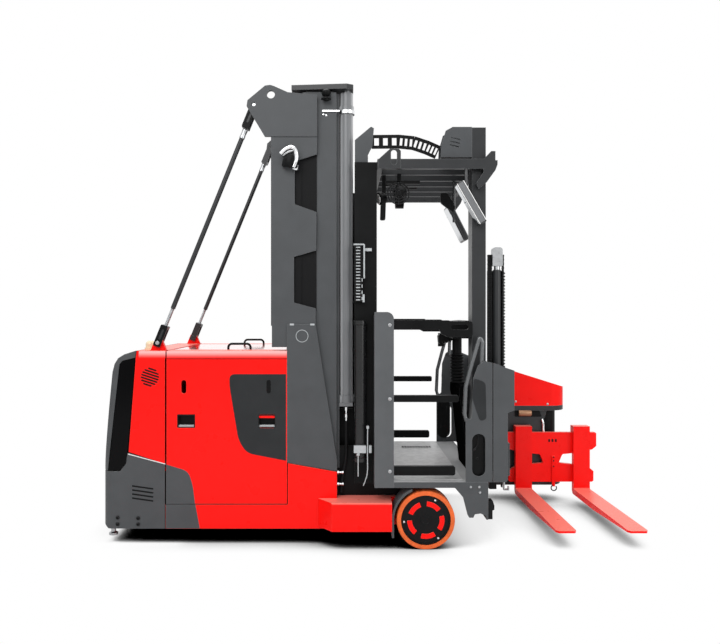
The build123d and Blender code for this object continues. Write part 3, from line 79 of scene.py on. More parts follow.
# Camera: straight at the right side, with its centre shifted by pixels of a picture 720 wide
CAMERA_PLACE = (-0.214, -5.225, 1.534)
CAMERA_LENS = 34.6
CAMERA_SENSOR = 36.0
CAMERA_SHIFT = (15.0 / 720.0, -8.0 / 720.0)


# Surfaces

def grid_faces(nu, nv, close_u=False, close_v=False):
    """Quads of a grid of nu by nv points, wrapped round where it closes."""
    u = np.arange(nu if close_u else nu - 1)
    v = np.arange(nv if close_v else nv - 1)
    a, b = np.meshgrid(u, v, indexing="ij")
    a2, b2 = (a + 1) % nu, (b + 1) % nv
    quads = np.stack([a * nv + b, a2 * nv + b, a2 * nv + b2, a * nv + b2], axis=-1)
    return quads.reshape(-1, 4)


def frame_of(axis):
    """Two directions square to axis."""
    axis = np.asarray(axis, float) / np.linalg.norm(axis)
    helper = np.array([0.0, 0.0, 1.0]) if abs(axis[2]) < 0.9 else np.array([1.0, 0.0, 0.0])
    side = np.cross(helper, axis)
    side /= np.linalg.norm(side)
    return axis, side, np.cross(axis, side)


def lathe(profile, centre, axis, steps=40):
    """Profile of (radius, height) pairs turned once about axis:
    point = centre + height * axis + radius * (cos, sin)."""
    axis, side, up = frame_of(axis)
    profile = np.asarray(profile, float) * MM
    turn = np.linspace(0, 2 * np.pi, steps, endpoint=False)
    ring = np.cos(turn)[:, None] * side + np.sin(turn)[:, None] * up
    points = profile[None, :, 0, None] * ring[:, None, :] + profile[None, :, 1, None] * axis
    points = points + np.asarray(centre, float) * MM
    return points.reshape(-1, 3), grid_faces(steps, len(profile), close_u=True).tolist()


def disc(centre, axis, radius, thick, edge=1.5, steps=40):
    """A round plate that starts at centre and grows along axis, with a small bevel at its rim."""
    edge = min(edge, thick * 0.45)
    return lathe(
        [(0, 0), (radius, 0), (radius, thick - edge), (radius - edge, thick), (0, thick)],
        centre, axis, steps,
    )


def bolt_head(centre, axis, radius):
    """Six-sided head with a rounded top."""
    return lathe(
        [(0, 0), (radius * 1.25, 0), (radius * 1.25, radius * 0.2), (radius, radius * 0.25),
         (radius, radius * 0.8), (radius * 0.8, radius), (0, radius)],
        centre, axis, 6,
    )


def sweep(path, radius, steps=12):
    """Circle carried along path: point = path + radius * (cos, sin) in the plane square to the path.
    radius is one number, or one for each station."""
    path = np.asarray(path, float) * MM
    tangent = np.gradient(path, axis=0)
    tangent /= np.linalg.norm(tangent, axis=1)[:, None]
    helper = np.array([0.0, 1.0, 0.0]) if np.abs(tangent[:, 1]).max() < 0.9 else np.array([1.0, 0.0, 0.0])
    side = np.cross(helper, tangent)
    side /= np.linalg.norm(side, axis=1)[:, None]
    up = np.cross(tangent, side)
    turn = np.linspace(0, 2 * np.pi, steps, endpoint=False)
    radii = np.broadcast_to(np.asarray(radius, float) * MM, (len(path),))
    ring = np.cos(turn)[None, :, None] * side[:, None, :] + np.sin(turn)[None, :, None] * up[:, None, :]
    points = path[:, None, :] + radii[:, None, None] * ring
    faces = grid_faces(len(path), steps, close_v=True).tolist()
    last = (len(path) - 1) * steps
    faces.append(list(range(steps)))
    faces.append([last + i for i in range(steps)][::-1])
    return points.reshape(-1, 3), faces


def bend_path(corners, radius, step=8):
    """Straight runs joined by arcs: each corner is cut back by radius and rounded by a quadratic curve."""
    corners = np.asarray(corners, float)
    out = [corners[0]]
    for before, here, after in zip(corners[:-2], corners[1:-1], corners[2:]):
        a = here + (before - here) / np.linalg.norm(before - here) * radius
        b = here + (after - here) / np.linalg.norm(after - here) * radius
        t = np.linspace(0, 1, step)[:, None]
        out.extend((1 - t) ** 2 * a + 2 * t * (1 - t) * here + t ** 2 * b)
    out.append(corners[-1])
    return np.array(out)


PLANES = {
    "xz": (np.array([1.0, 0, 0]), np.array([0, 0, 1.0]), np.array([0, -1.0, 0])),
    "yz": (np.array([0, 1.0, 0]), np.array([0, 0, 1.0]), np.array([1.0, 0, 0])),
    "xy": (np.array([1.0, 0, 0]), np.array([0, 1.0, 0]), np.array([0, 0, 1.0])),
}


def slab(outline, plane, level, thick, holes=()):
    """Flat outline in a plane of the row frame, from level along the plane's outward side by thick.
    holes are outlines that stay open."""
    right, up, out = PLANES[plane]
    loops = [np.asarray(loop, float) for loop in (outline, *holes)]
    flat = np.vstack(loops)
    n = len(flat)
    base = flat[:, :1] * right + flat[:, 1:] * up + np.abs(out) * level
    points = np.vstack([base, base + out * thick]) * MM
    faces, start = [], 0
    for k, loop in enumerate(loops):
        area = np.sum(loop[:, 0] * np.roll(loop[:, 1], -1) - np.roll(loop[:, 0], -1) * loop[:, 1])
        i = start + np.arange(len(loop))
        j = np.roll(i, -1)
        walls = np.stack([i, j, j + n, i + n], axis=-1)
        faces += (walls if (area > 0) == (k == 0) else walls[:, ::-1]).tolist()
        start += len(loop)
    for a, b, c in tessellate_polygon([[Vector((x, y, 0)) for x, y in loop] for loop in loops]):
        (ax, ay), (bx, by), (cx, cy) = flat[a], flat[b], flat[c]
        if (bx - ax) * (cy - ay) - (by - ay) * (cx - ax) < 0:
            b, c = c, b
        faces += [[a + n, b + n, c + n], [c, b, a]]
    return points, faces


def brick(x0, x1, y0, y1, z0, z1):
    """A box between two corners."""
    points = np.array([[x, y, z] for x in (x0, x1) for y in (y0, y1) for z in (z0, z1)], float) * MM
    faces = [[0, 1, 3, 2], [4, 6, 7, 5], [0, 4, 5, 1], [2, 3, 7, 6], [0, 2, 6, 4], [1, 5, 7, 3]]
    return points, faces


def turned(shape, pivot, axis, degrees):
    """The shape turned about a line through pivot."""
    points, faces = shape
    axis = np.asarray(axis, float) / np.linalg.norm(axis)
    pivot = np.asarray(pivot, float) * MM
    rel = points - pivot
    c, s = math.cos(math.radians(degrees)), math.sin(math.radians(degrees))
    spun = rel * c + np.cross(axis, rel) * s + np.outer(rel @ axis, axis) * (1 - c)
    return spun + pivot, faces


def oblong(x0, x1, z0, z1):
    """Corners of an upright rectangle."""
    return [(x0, z0), (x1, z0), (x1, z1), (x0, z1)]


def both_sides(shapes, flip):
    """The shapes as they are, or mirrored to the truck's left."""
    return [(points * np.array([1, -1, 1]), faces) for points, faces in shapes] if flip else list(shapes)


def outward(shape):
    """The closed shape with its faces turned outwards, told by the sign of its volume."""
    points, faces = shape
    volume = 0.0
    for face in faces:
        a = points[face[0]]
        for i, j in zip(face[1:-1], face[2:]):
            volume += np.dot(a, np.cross(points[i], points[j]))
    return points, (faces if volume > 0 else [list(face)[::-1] for face in faces])


def rounded(points, radius, step=6):
    """Closed outline whose corners are rounded by quadratic curves.
    radius is one number, or one for each corner."""
    points = np.asarray(points, float)
    out = []
    n = len(points)
    for i in range(n):
        before, here, after = points[i - 1], points[i], points[(i + 1) % n]
        la, lb = np.linalg.norm(before - here), np.linalg.norm(after - here)
        r = min(np.broadcast_to(radius, (n,))[i], la * 0.45, lb * 0.45)
        if r == 0:
            out.append(here)
            continue
        a = here + (before - here) / la * r
        b = here + (after - here) / lb * r
        t = np.linspace(0, 1, step)[:, None]
        out.extend((1 - t) ** 2 * a + 2 * t * (1 - t) * here + t ** 2 * b)
    return np.array(out)


def piece(name, shapes, finish, body, slot, bevel=0.0, smooth=True):
    """One mesh object made of several closed shapes, riding on a body."""
    shapes = [outward(shape) for shape in shapes]
    points = np.vstack([s[0] for s in shapes])
    faces, start = [], 0
    for verts, polys in shapes:
        faces += [[i + start for i in poly] for poly in polys]
        start += len(verts)
    mesh = bpy.data.meshes.new(name)
    mesh.from_pydata(points.tolist(), [], faces)
    mesh.update()
    obj = bpy.data.objects.new(name, mesh)
    bpy.context.scene.collection.objects.link(obj)
    mesh.materials.append(finish)
    if smooth:
        mesh.shade_smooth()
        mesh.set_sharp_from_angle(angle=math.radians(35))
    if bevel:
        mod = obj.modifiers.new("edges", "BEVEL")
        mod.width = bevel * MM
        mod.segments = 2
        mod.limit_method = "ANGLE"
        mod.angle_limit = math.radians(40)
        mod.harden_normals = False
    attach(obj, body)
    return obj


def pair(name, shapes, finish, body, slot, **more):
    """The piece on the right and its mirror on the left.
    A body that ends in an underscore is one of a pair too."""
    for word, flip in (("right", False), ("left", True)):
        rider = body + word if body.endswith("_") else body
        piece(f"{name}_{word}", both_sides(shapes, flip), finish, rider, slot, **more)


# Finishes

def new_node(tree, kind, **values):
    """A node of a material with its socket values set, spaces in their names written as underscores."""
    made = tree.nodes.new(kind)
    for key, value in values.items():
        made.inputs[key.replace("_", " ")].default_value = value
    return made


def mixed(tree, base, tone, share):
    """The base colour, an output socket, blended towards tone by the socket share."""
    mix = tree.nodes.new("ShaderNodeMix")
    mix.data_type = "RGBA"
    mix.inputs["B"].default_value = (*tone, 1)
    tree.links.new(base, mix.inputs["A"])
    tree.links.new(share, mix.inputs["Factor"])
    return mix.outputs["Result"]


def ramp(tree, value, smooth=False, **ends):
    """The socket value carried from one range to another."""
    made = new_node(tree, "ShaderNodeMapRange", **ends)
    if smooth:
        made.interpolation_type = "SMOOTHSTEP"
    tree.links.new(value, made.inputs["Value"])
    return made.outputs["Result"]


def maths(tree, kind, first, second):
    """Result of one operation on two sockets."""
    made = tree.nodes.new("ShaderNodeMath")
    made.operation = kind
    tree.links.new(first, made.inputs[0])
    tree.links.new(second, made.inputs[1])
    return made.outputs[0]


def facing_share(tree, normal, axis):
    """Share by which a face turns upwards (Z), or fore or aft (X)."""
    parts = tree.nodes.new("ShaderNodeSeparateXYZ")
    tree.links.new(normal, parts.inputs["Vector"])
    size = tree.nodes.new("ShaderNodeMath")
    size.operation = "MAXIMUM" if axis == "Z" else "ABSOLUTE"
    size.inputs[1].default_value = 0.0
    tree.links.new(parts.outputs[axis], size.inputs[0])
    return ramp(tree, size.outputs[0], From_Min=UPWARD_FROM if axis == "Z" else SIDEWAYS_FROM, From_Max=1.0)


def finish(name, colour, rough, metal=0.0, spec=0.3, coat=0.0, mottle=0.06, grain=0.0, scale=9.0,
           rough_var=0.08, edge=0.0, edge_highlight=None, top_highlight=None, side_highlight=None):
    """Surface with a slight drift of tone over large noise, a drift of gloss and a fine bump grain.
    edge rounds the shading at corners by that many mm. The corner tone paints a highlight on such corners,
    the upward tone paints a highlight on faces as they turn upwards, and the side tone one as they turn fore
    or aft."""
    mat = bpy.data.materials.new(name)
    mat.use_nodes = True
    tree = mat.node_tree
    shader = tree.nodes["Principled BSDF"]
    shader.inputs["Metallic"].default_value = metal
    shader.inputs["Specular IOR Level"].default_value = spec
    shader.inputs["Coat Weight"].default_value = coat
    shader.inputs["Coat Roughness"].default_value = COAT_ROUGH
    place = tree.nodes.new("ShaderNodeTexCoord").outputs["Object"]
    cloud = new_node(tree, "ShaderNodeTexNoise", Scale=scale, Detail=4.0)
    tree.links.new(place, cloud.inputs["Vector"])
    drift = tree.nodes.new("ShaderNodeMix")
    drift.data_type = "RGBA"
    drift.inputs["A"].default_value = (*[c * (1 - mottle) for c in colour], 1)
    drift.inputs["B"].default_value = (*[min(c * (1 + mottle), 1.0) for c in colour], 1)
    tree.links.new(ramp(tree, cloud.outputs["Fac"], From_Min=0.3, From_Max=0.7), drift.inputs["Factor"])
    base = drift.outputs["Result"]
    gloss = ramp(tree, cloud.outputs["Fac"],
                 To_Min=max(rough - rough_var, 0.03), To_Max=min(rough + rough_var, 1.0))
    tree.links.new(gloss, shader.inputs["Roughness"])

    face_normal = tree.nodes.new("ShaderNodeNewGeometry").outputs["Normal"]
    # painted highlights on faces as they turn upwards and as they turn fore or aft
    for tone, axis in ((top_highlight, "Z"), (side_highlight, "X")):
        if tone:
            base = mixed(tree, base, tone, facing_share(tree, face_normal, axis))
    normal = None
    if edge > 0:
        soft = new_node(tree, "ShaderNodeBevel", Radius=edge * MM)
        soft.samples = 6
        normal = soft.outputs["Normal"]
    # painted highlight on corners, where the rounded normal parts from the face's own
    if edge_highlight:
        alike = tree.nodes.new("ShaderNodeVectorMath")
        alike.operation = "DOT_PRODUCT"
        tree.links.new(normal, alike.inputs[0])
        tree.links.new(face_normal, alike.inputs[1])
        base = mixed(tree, base, edge_highlight, ramp(tree, alike.outputs["Value"], From_Min=0.995, From_Max=0.90))
    tree.links.new(base, shader.inputs["Base Color"])

    if grain:
        fine = new_node(tree, "ShaderNodeTexNoise", Scale=GRAIN_SCALE, Detail=2.0)
        tree.links.new(place, fine.inputs["Vector"])
        bump = new_node(tree, "ShaderNodeBump", Strength=grain, Distance=0.001)
        tree.links.new(fine.outputs["Fac"], bump.inputs["Height"])
        if normal is not None:
            tree.links.new(normal, bump.inputs["Normal"])
        normal = bump.outputs["Normal"]
    if normal is not None:
        tree.links.new(normal, shader.inputs["Normal"])
    return mat


def paler_with_height(mat, tone, low, high):
    """Blends a finish towards tone between two heights in metres: a painted highlight,
    as on a shoulder that turns up to the light."""
    tree = mat.node_tree
    parts = tree.nodes.new("ShaderNodeSeparateXYZ")
    tree.links.new(tree.nodes.new("ShaderNodeTexCoord").outputs["Object"], parts.inputs["Vector"])
    rise = ramp(tree, parts.outputs["Z"], True, From_Min=low, From_Max=high)
    socket = tree.nodes["Principled BSDF"].inputs["Base Color"]
    tree.links.new(mixed(tree, socket.links[0].from_socket, tone, rise), socket)
    return mat


RED_BASE = (0.93, 0.007, 0.005)
GREY_BASE = (0.066, 0.070, 0.074)
# tone of the painted highlight on the corners of grey paint
GREY_EDGE_HIGHLIGHT = (0.20, 0.205, 0.21)
# the upward and corner tones of these finishes are painted highlights
RED = finish("red paint", RED_BASE, 0.30, spec=0.12, mottle=0.03, grain=0.03, edge=2.5,
             edge_highlight=(0.95, 0.10, 0.07), top_highlight=(0.97, 0.24, 0.19))
FORK = finish("fork paint", RED_BASE, 0.30, spec=0.14, mottle=0.03, top_highlight=(0.97, 0.22, 0.17))
LID = finish("lid paint", (0.93, 0.012, 0.009), 0.16, spec=0.5, coat=1.0, mottle=0.03, edge=3.0,
             edge_highlight=(0.95, 0.22, 0.18), top_highlight=(0.95, 0.16, 0.13))
KNEE = finish("knee wall", (0.004, 0.004, 0.0042), 0.45, spec=0.0, mottle=0.1, grain=0.05, edge=3.0,
              edge_highlight=(0.03, 0.03, 0.032))
DARK = finish("grey paint", GREY_BASE, 0.42, spec=0.2, grain=0.10, edge=2.0, edge_highlight=GREY_EDGE_HIGHLIGHT,
              top_highlight=(0.16, 0.165, 0.17))
FIELD = finish("dark door paint", (0.0175, 0.019, 0.0205), 0.40, spec=0.22, mottle=0.10, grain=0.10)
CABIN = finish("cab floor paint", GREY_BASE, 0.42, spec=0.2, grain=0.10, edge=2.0, edge_highlight=GREY_EDGE_HIGHLIGHT,
               top_highlight=(0.42, 0.425, 0.43))
PANEL = finish("light grey paint", (0.088, 0.093, 0.098), 0.42, spec=0.25, grain=0.12, edge=2.0,
               edge_highlight=(0.25, 0.25, 0.26))
COLUMN = finish("column paint", (0.023, 0.0243, 0.026), 0.34, spec=0.3, grain=0.08, edge=3.0,
                edge_highlight=(0.16, 0.165, 0.17))
SHELL = finish("rear shell", (0.062, 0.065, 0.068), 0.34, spec=0.3, mottle=0.10, grain=0.16, edge=3.0,
               top_highlight=(0.26, 0.265, 0.27))
# the cylinder paint takes a painted highlight on its flanks as they turn fore or aft
BARREL = finish("cylinder paint", (0.145, 0.15, 0.157), 0.32, spec=0.5, mottle=0.05, edge=1.5,
                side_highlight=(0.56, 0.57, 0.585))
SLEEK = finish("sleek black paint", (0.006, 0.0062, 0.0066), 0.28, spec=0.45, mottle=0.05)
BLACK = finish("black trim", (0.0040, 0.0042, 0.0044), 0.42, spec=0.10, mottle=0.25, grain=0.10, edge=2.0,
               edge_highlight=(0.05, 0.05, 0.052), top_highlight=(0.03, 0.03, 0.031))
GLOSS = finish("glossy black", (0.002, 0.002, 0.0023), 0.12, spec=0.07, mottle=0.02, rough_var=0.03)
RUBBER = finish("black rubber", (0.006, 0.006, 0.0065), 0.65, spec=0.16, mottle=0.2, grain=0.25)
TYRE = finish("orange tyre", (0.72, 0.13, 0.030), 0.50, spec=0.2, mottle=0.12, grain=0.10, scale=30,
              edge=3.0)
DISC = finish("wheel disc", (0.006, 0.006, 0.0064), 0.35, spec=0.12, mottle=0.1, edge=1.5)
STEEL = finish("bare steel", (0.42, 0.43, 0.44), 0.30, metal=1.0, mottle=0.08, scale=40, edge=1.0)
CHROME = finish("bright steel", (0.80, 0.81, 0.82), 0.16, metal=1.0, mottle=0.03)
TUBE = finish("handle tube", (0.13, 0.135, 0.14), 0.24, metal=0.5, spec=0.5, mottle=0.05)
PALE = finish("pale tube", (0.40, 0.42, 0.43), 0.36, spec=0.4, mottle=0.05)
WHITE = finish("white trim and painted highlight", (0.78, 0.78, 0.77), 0.45, mottle=0.03)
BRONZE = finish("bronze motor", (0.34, 0.19, 0.11), 0.42, metal=0.6, mottle=0.1)
MIRROR = finish("mirror glass", (0.62, 0.64, 0.66), 0.08, metal=1.0, mottle=0.02, rough_var=0.02)
TREAD = finish("floor plate", (0.60, 0.602, 0.605), 0.45, metal=0.2, spec=0.4, mottle=0.14, grain=0.3,
               scale=26, edge=1.5)
SATIN = finish("satin grey back", (0.045, 0.046, 0.048), 0.22, metal=0.3, spec=0.5, mottle=0.08, edge=4.0,
               edge_highlight=(0.25, 0.25, 0.26))
# paler towards the top: painted highlight of the shoulder that turns up to the light
SHOULDER_HIGHLIGHT = paler_with_height(finish("red shoulder highlight", (0.93, 0.010, 0.008), 0.30, spec=0.12, mottle=0.03),
                             (0.97, 0.50, 0.48), 1.236, 1.290)
# also paints the shade in seams and slots
GUARD = finish("window mesh", (0.004, 0.004, 0.0045), 0.50, spec=0.12, mottle=0.3, grain=0.8, scale=120)
LENS = finish("beacon lens", (0.90, 0.76, 0.52), 0.20, spec=0.5, mottle=0.04)

NODE_FINISH = {
    RED: "chassis_frame battery_door_right battery_door_left rear_cowl load_legs turret_hood",
    FORK: "fork_carriage forks",
    LID: "battery_lid",
    KNEE: "knee_wall",
    DARK: "rear_bumper mast_outer mast_side_plates front_panels"
          " column_head cable_bracket traverse_frame wheel_fenders drive_unit",
    CABIN: "cab_floor",
    PANEL: "cab_posts",
    COLUMN: "aux_cylinder aux_column roof_frame turret_arm mast_inner mast_stays",
    BARREL: "lift_cylinders",
    SHELL: "rear_crown",
    GLOSS: "rear_window",
    BLACK: "rear_lining battery lid_handles cab_back console cab_fan"
           " cable_chain aux_chain mast_chains gate_right_top gate_right_middle gate_right_low"
           " gate_left_top gate_left_middle gate_left_low",
    RUBBER: "floor_buffers drive_tyre bellows",
    TYRE: "load_tyre_right load_tyre_left",
    DISC: "load_rim_right load_rim_left drive_rim",
    STEEL: "lift_rods aux_rod",
    TUBE: "grab_handles",
    SATIN: "mirrors",
    TREAD: "floor_mat",
    LENS: "beacon",
}
for paint, names in NODE_FINISH.items():
    for name in names.split():
        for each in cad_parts[name].material_slots:
            each.material = paint


# Small fittings, all as lists of closed shapes

def pill(x, z, width, height, steps=9):
    """Outline of an upright slot with round ends."""
    turn = np.linspace(0, np.pi, steps)
    r = width / 2
    top = np.stack([x + r * np.cos(turn), z + height / 2 - r + r * np.sin(turn)], axis=1)
    low = np.stack([x - r * np.cos(turn), z - height / 2 + r - r * np.sin(turn)], axis=1)
    return np.vstack([top, low])


def bolts(spots, level, radius, washer=True):
    """Six-sided heads with washers on a face that looks to the right side, at (x, z) spots."""
    shapes = []
    for x, z in spots:
        if washer:
            shapes.append(disc((x, level, z), RIGHTWARDS, radius * 1.5, 1.6, 0.5, 24))
        shapes.append(bolt_head((x, level - 1.4, z), RIGHTWARDS, radius))
    return shapes


def ribbed_pipe(start, end, radius, pitch, depth):
    """Round bar whose radius swings by depth once per pitch, as on a thread or a corrugated hose."""
    start, end = np.asarray(start, float), np.asarray(end, float)
    length = np.linalg.norm(end - start)
    count = max(int(length / pitch * 6), 8)
    share = np.linspace(0, 1, count)[:, None]
    wave = radius + depth * np.cos(np.linspace(0, length / pitch, count) * 2 * np.pi)
    return sweep(start + share * (end - start), wave, 14)


def chain_run(x, y, width, depth, z0, z1, pitch):
    """Leaf chain hanging along Z: wide and narrow plates in turn, with a pin at each joint."""
    shapes = []
    count = int((z1 - z0) / pitch)
    for k in range(count):
        low = z0 + k * pitch
        half = width / 2 if k % 2 else width / 2 - 5
        shapes.append(brick(x, x + depth, y - half, y + half, low + 0.6, low + pitch - 0.6))
    pin = width / 2 - 7
    shapes.append(brick(x + depth * 0.3, x + depth * 0.7, y - pin, y + pin, z0, z0 + count * pitch))
    return shapes


# Body panels

def door_fields():
    """Dark fields on the doors and the rear end, and a pale line over the bumper as a painted highlight."""
    recess = rounded(oblong(-793, -679, 772, 864), 12, 4)
    front = rounded([(-608, 1132), (-986, 1132), (-986, 1050), (-926, 690), (-870, 604), (-608, 553)],
                    [0, 64, 64, 80, 80, 0], 9)
    pair("door_field", [slab(front, "xz", SIDE, FIELD_THICK, [recess])], FIELD, "door_", "frame_dark")
    rear = rounded([(-1407, 528), (-1262, 484), (-1232, 392), (-1216, 265), (-1407, 265)],
                   [0, 60, 60, 0, 0], 9)
    edge = brick(-1409, -1406.8, SIDE - FIELD_THICK, -588, 265, 528)
    pair("rear_field", [slab(rear, "xz", SIDE, FIELD_THICK), edge], DARK, "door_", "frame_dark")
    # white line painting the highlight along the bumper's top edge under the cowl
    rim = slab([(-1664, 595), (-1414, 529), (-1414, 534), (-1664, 601)], "xz", SIDE, 1.2)
    pair("waist_highlight", [rim], WHITE, "chassis", "steel_plain")
    skirt = slab([(-1412, 260.5), (-1214, 260.5), (-1184, 101), (-1412, 101)], "xz", SIDE, FIELD_THICK)
    pair("skirt_field", [skirt], DARK, "chassis", "frame_dark")


def shoulders():
    """Painted highlight as a paler band along the top of doors and cowl, with the dark line under it."""
    low, high = SHOULDER_Z
    door = slab(oblong(DOOR_BACK, DOOR_FRONT, low, high), "xz", SIDE, 0.6)
    pair("door_shoulder_highlight", [door], SHOULDER_HIGHLIGHT, "door_", "body_red")
    cowl = slab([(-1594, low), (-1414, low), (-1414, high), (-1591, high)], "xz", SIDE, 0.6)
    pair("cowl_shoulder_highlight", [cowl], SHOULDER_HIGHLIGHT, "chassis", "body_red")
    line = slab(oblong(DOOR_BACK, DOOR_FRONT, low - 5, low - 1), "xz", SIDE, 0.6)
    pair("lid_line", [line], GUARD, "door_", "trim_black")


def grips():
    """Black cup and pale lip in each grip recess, the red flap of the front one,
    and the slot in the dark field."""
    cups, lips = [slab(pill(-724, 1049, 30, 92), "xz", SIDE - FIELD_THICK, 0.8)], []
    foot, top = GRIP_Z - 40, GRIP_Z + 42
    for x in GRIPS_X:
        cups.append(brick(x - 56, x + 56, -562, -558, foot, top))
        mouth = oblong(x - 56.5, x + 56.5, GRIP_Z - 42, GRIP_Z + 42)
        hole = oblong(x - 53, x + 53, GRIP_Z - 38, GRIP_Z + 38)
        cups.append(slab(mouth, "xz", -562, 39.4, [hole]))
        lips.append(slab(rounded(oblong(x - 52, x + 52, foot, foot + 14), 5), "xz", -566, 28))
    flap = slab(rounded(oblong(-789, -683, 838, 857), 6), "xz", -584, 12)
    pair("grip_cups", cups, BLACK, "door_", "trim_black")
    pair("grip_flap", [flap], RED, "door_", "body_red", bevel=1.5)
    pair("grip_lips", lips, PALE, "door_", "steel_plain", bevel=1.5)


def rear_end():
    """Levelling feet and the bolts of the bumper."""
    foot = lathe([(0, 0), (30, 0), (30, 14), (16, 22), (16, 60), (0, 60)], (-1780, -540, 44), UP, 20)
    pair("rear_foot", [foot], STEEL, "chassis", "steel_plain")
    heads = bolts([(-1733, 174), (-1733, 130), (-1596, 170), (-1596, 130)], SIDE, 11, False)
    pair("bumper_bolts", heads, BLACK, "chassis", "trim_black")


door_fields()
shoulders()
grips()
rear_end()


# Load wheels

def wheel_dress():
    """Red inserts in the disc's pockets, bright screws, and the ring and hub cap."""
    cx, cz = LOAD_AXLE
    level = WHEEL_FACE
    arcs = []
    for k in range(5):
        span = np.radians(np.linspace(-24.5, 24.5, 14) + 72 * k - 10)
        outer = np.stack([cx + 122 * np.cos(span), cz + 122 * np.sin(span)], axis=1)
        inner = np.stack([cx + 90 * np.cos(span), cz + 90 * np.sin(span)], axis=1)[::-1]
        arcs.append(slab(rounded(np.vstack([outer, inner]), 9, 3), "xz", level + 4.2, 5.0))
    screws = []
    for k in range(3):
        a = math.radians(64.5 + 120 * k)
        spot = (cx + 143 * math.cos(a), level, cz + 143 * math.sin(a))
        screws.append(disc(spot, RIGHTWARDS, 7, 4, steps=16))
    rim = lathe([(150, 0), (157, 0), (157, 3), (150, 3)], (cx, level, cz), RIGHTWARDS, 64)
    hub = lathe([(0, 0), (34, 0), (33, 3), (24, 4), (22, 2), (0, 2)], (cx, level, cz), RIGHTWARDS, 40)
    pair("wheel_inserts", arcs, RED, "load_wheel_", "body_red", bevel=1.0)
    pair("wheel_screws", screws, CHROME, "load_wheel_", "steel_plain")
    pair("wheel_rings", [rim, hub], DISC, "load_wheel_", "rim_black", bevel=0.6)


wheel_dress()


# Mast: mesh behind the windows, plates, knob, straps, stay ends, hoses

def mast_fittings():
    """Guard mesh behind the windows, small plates, the knob and the strap at the top of each cylinder."""
    panes = ((-560, -506, 2200, 2610, -572), (-565, -506, 1560, 1970, -572),
             (-508, -404, 2190, 2612, -564), (-508, -406, 1556, 1972, -564))
    mesh = [slab(oblong(x0, x1, z0, z1), "xz", level, 2) for x0, x1, z0, z1, level in panes]
    pair("window_mesh", mesh, GUARD, "chassis", "trim_black")
    ring = lathe([(38, 0), (42, 0), (42, 2), (38, 2)], (-501, SIDE, 1387), RIGHTWARDS, 48)
    tabs = [brick(x - 14, x + 14, SIDE - 1.5, SIDE + 0.5, 1458, 1470) for x in (-569, -432)]
    pair("mast_plates", [ring] + tabs, PALE, "chassis", "steel_plain")
    knob_profile = [(0, 0), (20, 0), (22, 5), (34, 8), (34, 14), (16, 18), (14, 26), (26, 34), (32, 48),
                    (30, 62), (18, 74), (0, 78)]
    pair("mast_knob", [lathe(knob_profile, (-340, -596, 2962), UP, 32)], BLACK, "chassis", "trim_black")
    strap = [
        lathe([(49.5, 0), (54, 0), (54, 24), (49.5, 24)], (*BARREL_AXIS, 2888), UP, 40),
        brick(-366, -250, -569, -560.5, 2896, 2907),
    ]
    strap += bolts([(-360, 2878), (-340, 2872)], -561, 6, False)
    pair("cylinder_strap", strap, CHROME, "chassis", "steel_plain", bevel=1.0)


def stay_ends():
    """Threaded ends, pins and cheek plates of the two stays."""
    foot, top = np.array([-1473.0, -541.0, 1340.0]), np.array([-825.0, -541.0, 2938.0])
    along = (top - foot) / np.linalg.norm(top - foot)
    threads = [ribbed_pipe(foot + along * 126, foot + along * 248, 11.5, 7, 1.4),
               ribbed_pipe(top - along * 232, top - along * 172, 18.5, 60, 1.0)]
    threads += [disc((x, y - 42.0, z), RIGHTWARDS, 13, 4, 1.2, 24) for x, y, z in (foot, top)]
    pair("stay_threads", threads, STEEL, "chassis", "steel_plain")
    lean = math.degrees(math.atan2(along[0], along[2]))
    cheeks = []
    for (x, _, z), near, far, shift in ((foot, -26, 126, 12), (top, -166, 26, -18)):
        plate = rounded(oblong(x - 25, x + 25, z + near, z + far), 12, 4)
        eye = pill(x, z + (near + far) / 2 + shift, 17, 74)
        cheeks.append(turned(slab(plate, "xz", -576, 4, [eye]), (x, -576, z), (0, 1, 0), lean))
    pair("stay_cheeks", cheeks, BLACK, "chassis", "trim_black", bevel=1.0)


def mast_foot():
    """Couplings, and the fitting and hose under each lift cylinder."""
    profile = [(0, 0), (12, 0), (12, 12), (8, 14), (8, 30), (11, 32), (11, 42), (0, 42)]
    couplings = [lathe(profile, (-266, -575, z), (1, 0, 0), 6) for z in (470, 392)]
    pair("couplings", couplings, STEEL, "chassis", "steel_plain")
    port = (-205, -540, 812)
    profile = [(0, 0), (9, 0), (9, 22), (14, 24), (14, 46), (9, 50), (9, 66), (15, 68), (15, 92),
               (10, 96), (0, 96)]
    pair("cylinder_fitting", [lathe(profile, port, UP, 18)], CHROME, "chassis", "steel_plain")
    hose = sweep(bend_path([port, (-205, -540, 560), (-235, -545, 420), (-240, -545, 330)], 60), 11, 14)
    pair("cylinder_hose", [hose], RUBBER, "chassis", "rubber_black")


mast_fittings()
stay_ends()
mast_foot()

# Work lamp on the right web plate

def work_lamp():
    """Black lamp body with its bright bracket."""
    profile = [(0, 0), (52, 0), (56, 12), (50, 60), (34, 84), (0, 90)]
    body = lathe(profile, (-583, -604, 2512), (0.15, -0.2, 1.0), 32)
    piece("work_lamp_body", [body], BLACK, "chassis", "trim_black", bevel=1.0)
    hoop = [(-640, -640, 2596), (-600, -650, 2636), (-545, -650, 2640), (-530, -646, 2560),
            (-556, -640, 2506)]
    bracket = [
        sweep(bend_path(hoop, 36), 15, 14),
        sweep(bend_path([(-628, -612, 2588), (-590, -606, 2618), (-560, -600, 2622)], 20), 9, 12),
        lathe([(0, 0), (22, 0), (24, 6), (20, 34), (0, 36)], (-548, -600, 2500), (0.3, -0.3, 1.0), 24),
    ]
    piece("work_lamp_bracket", bracket, CHROME, "chassis", "steel_plain")


work_lamp()


# Between mast and cab

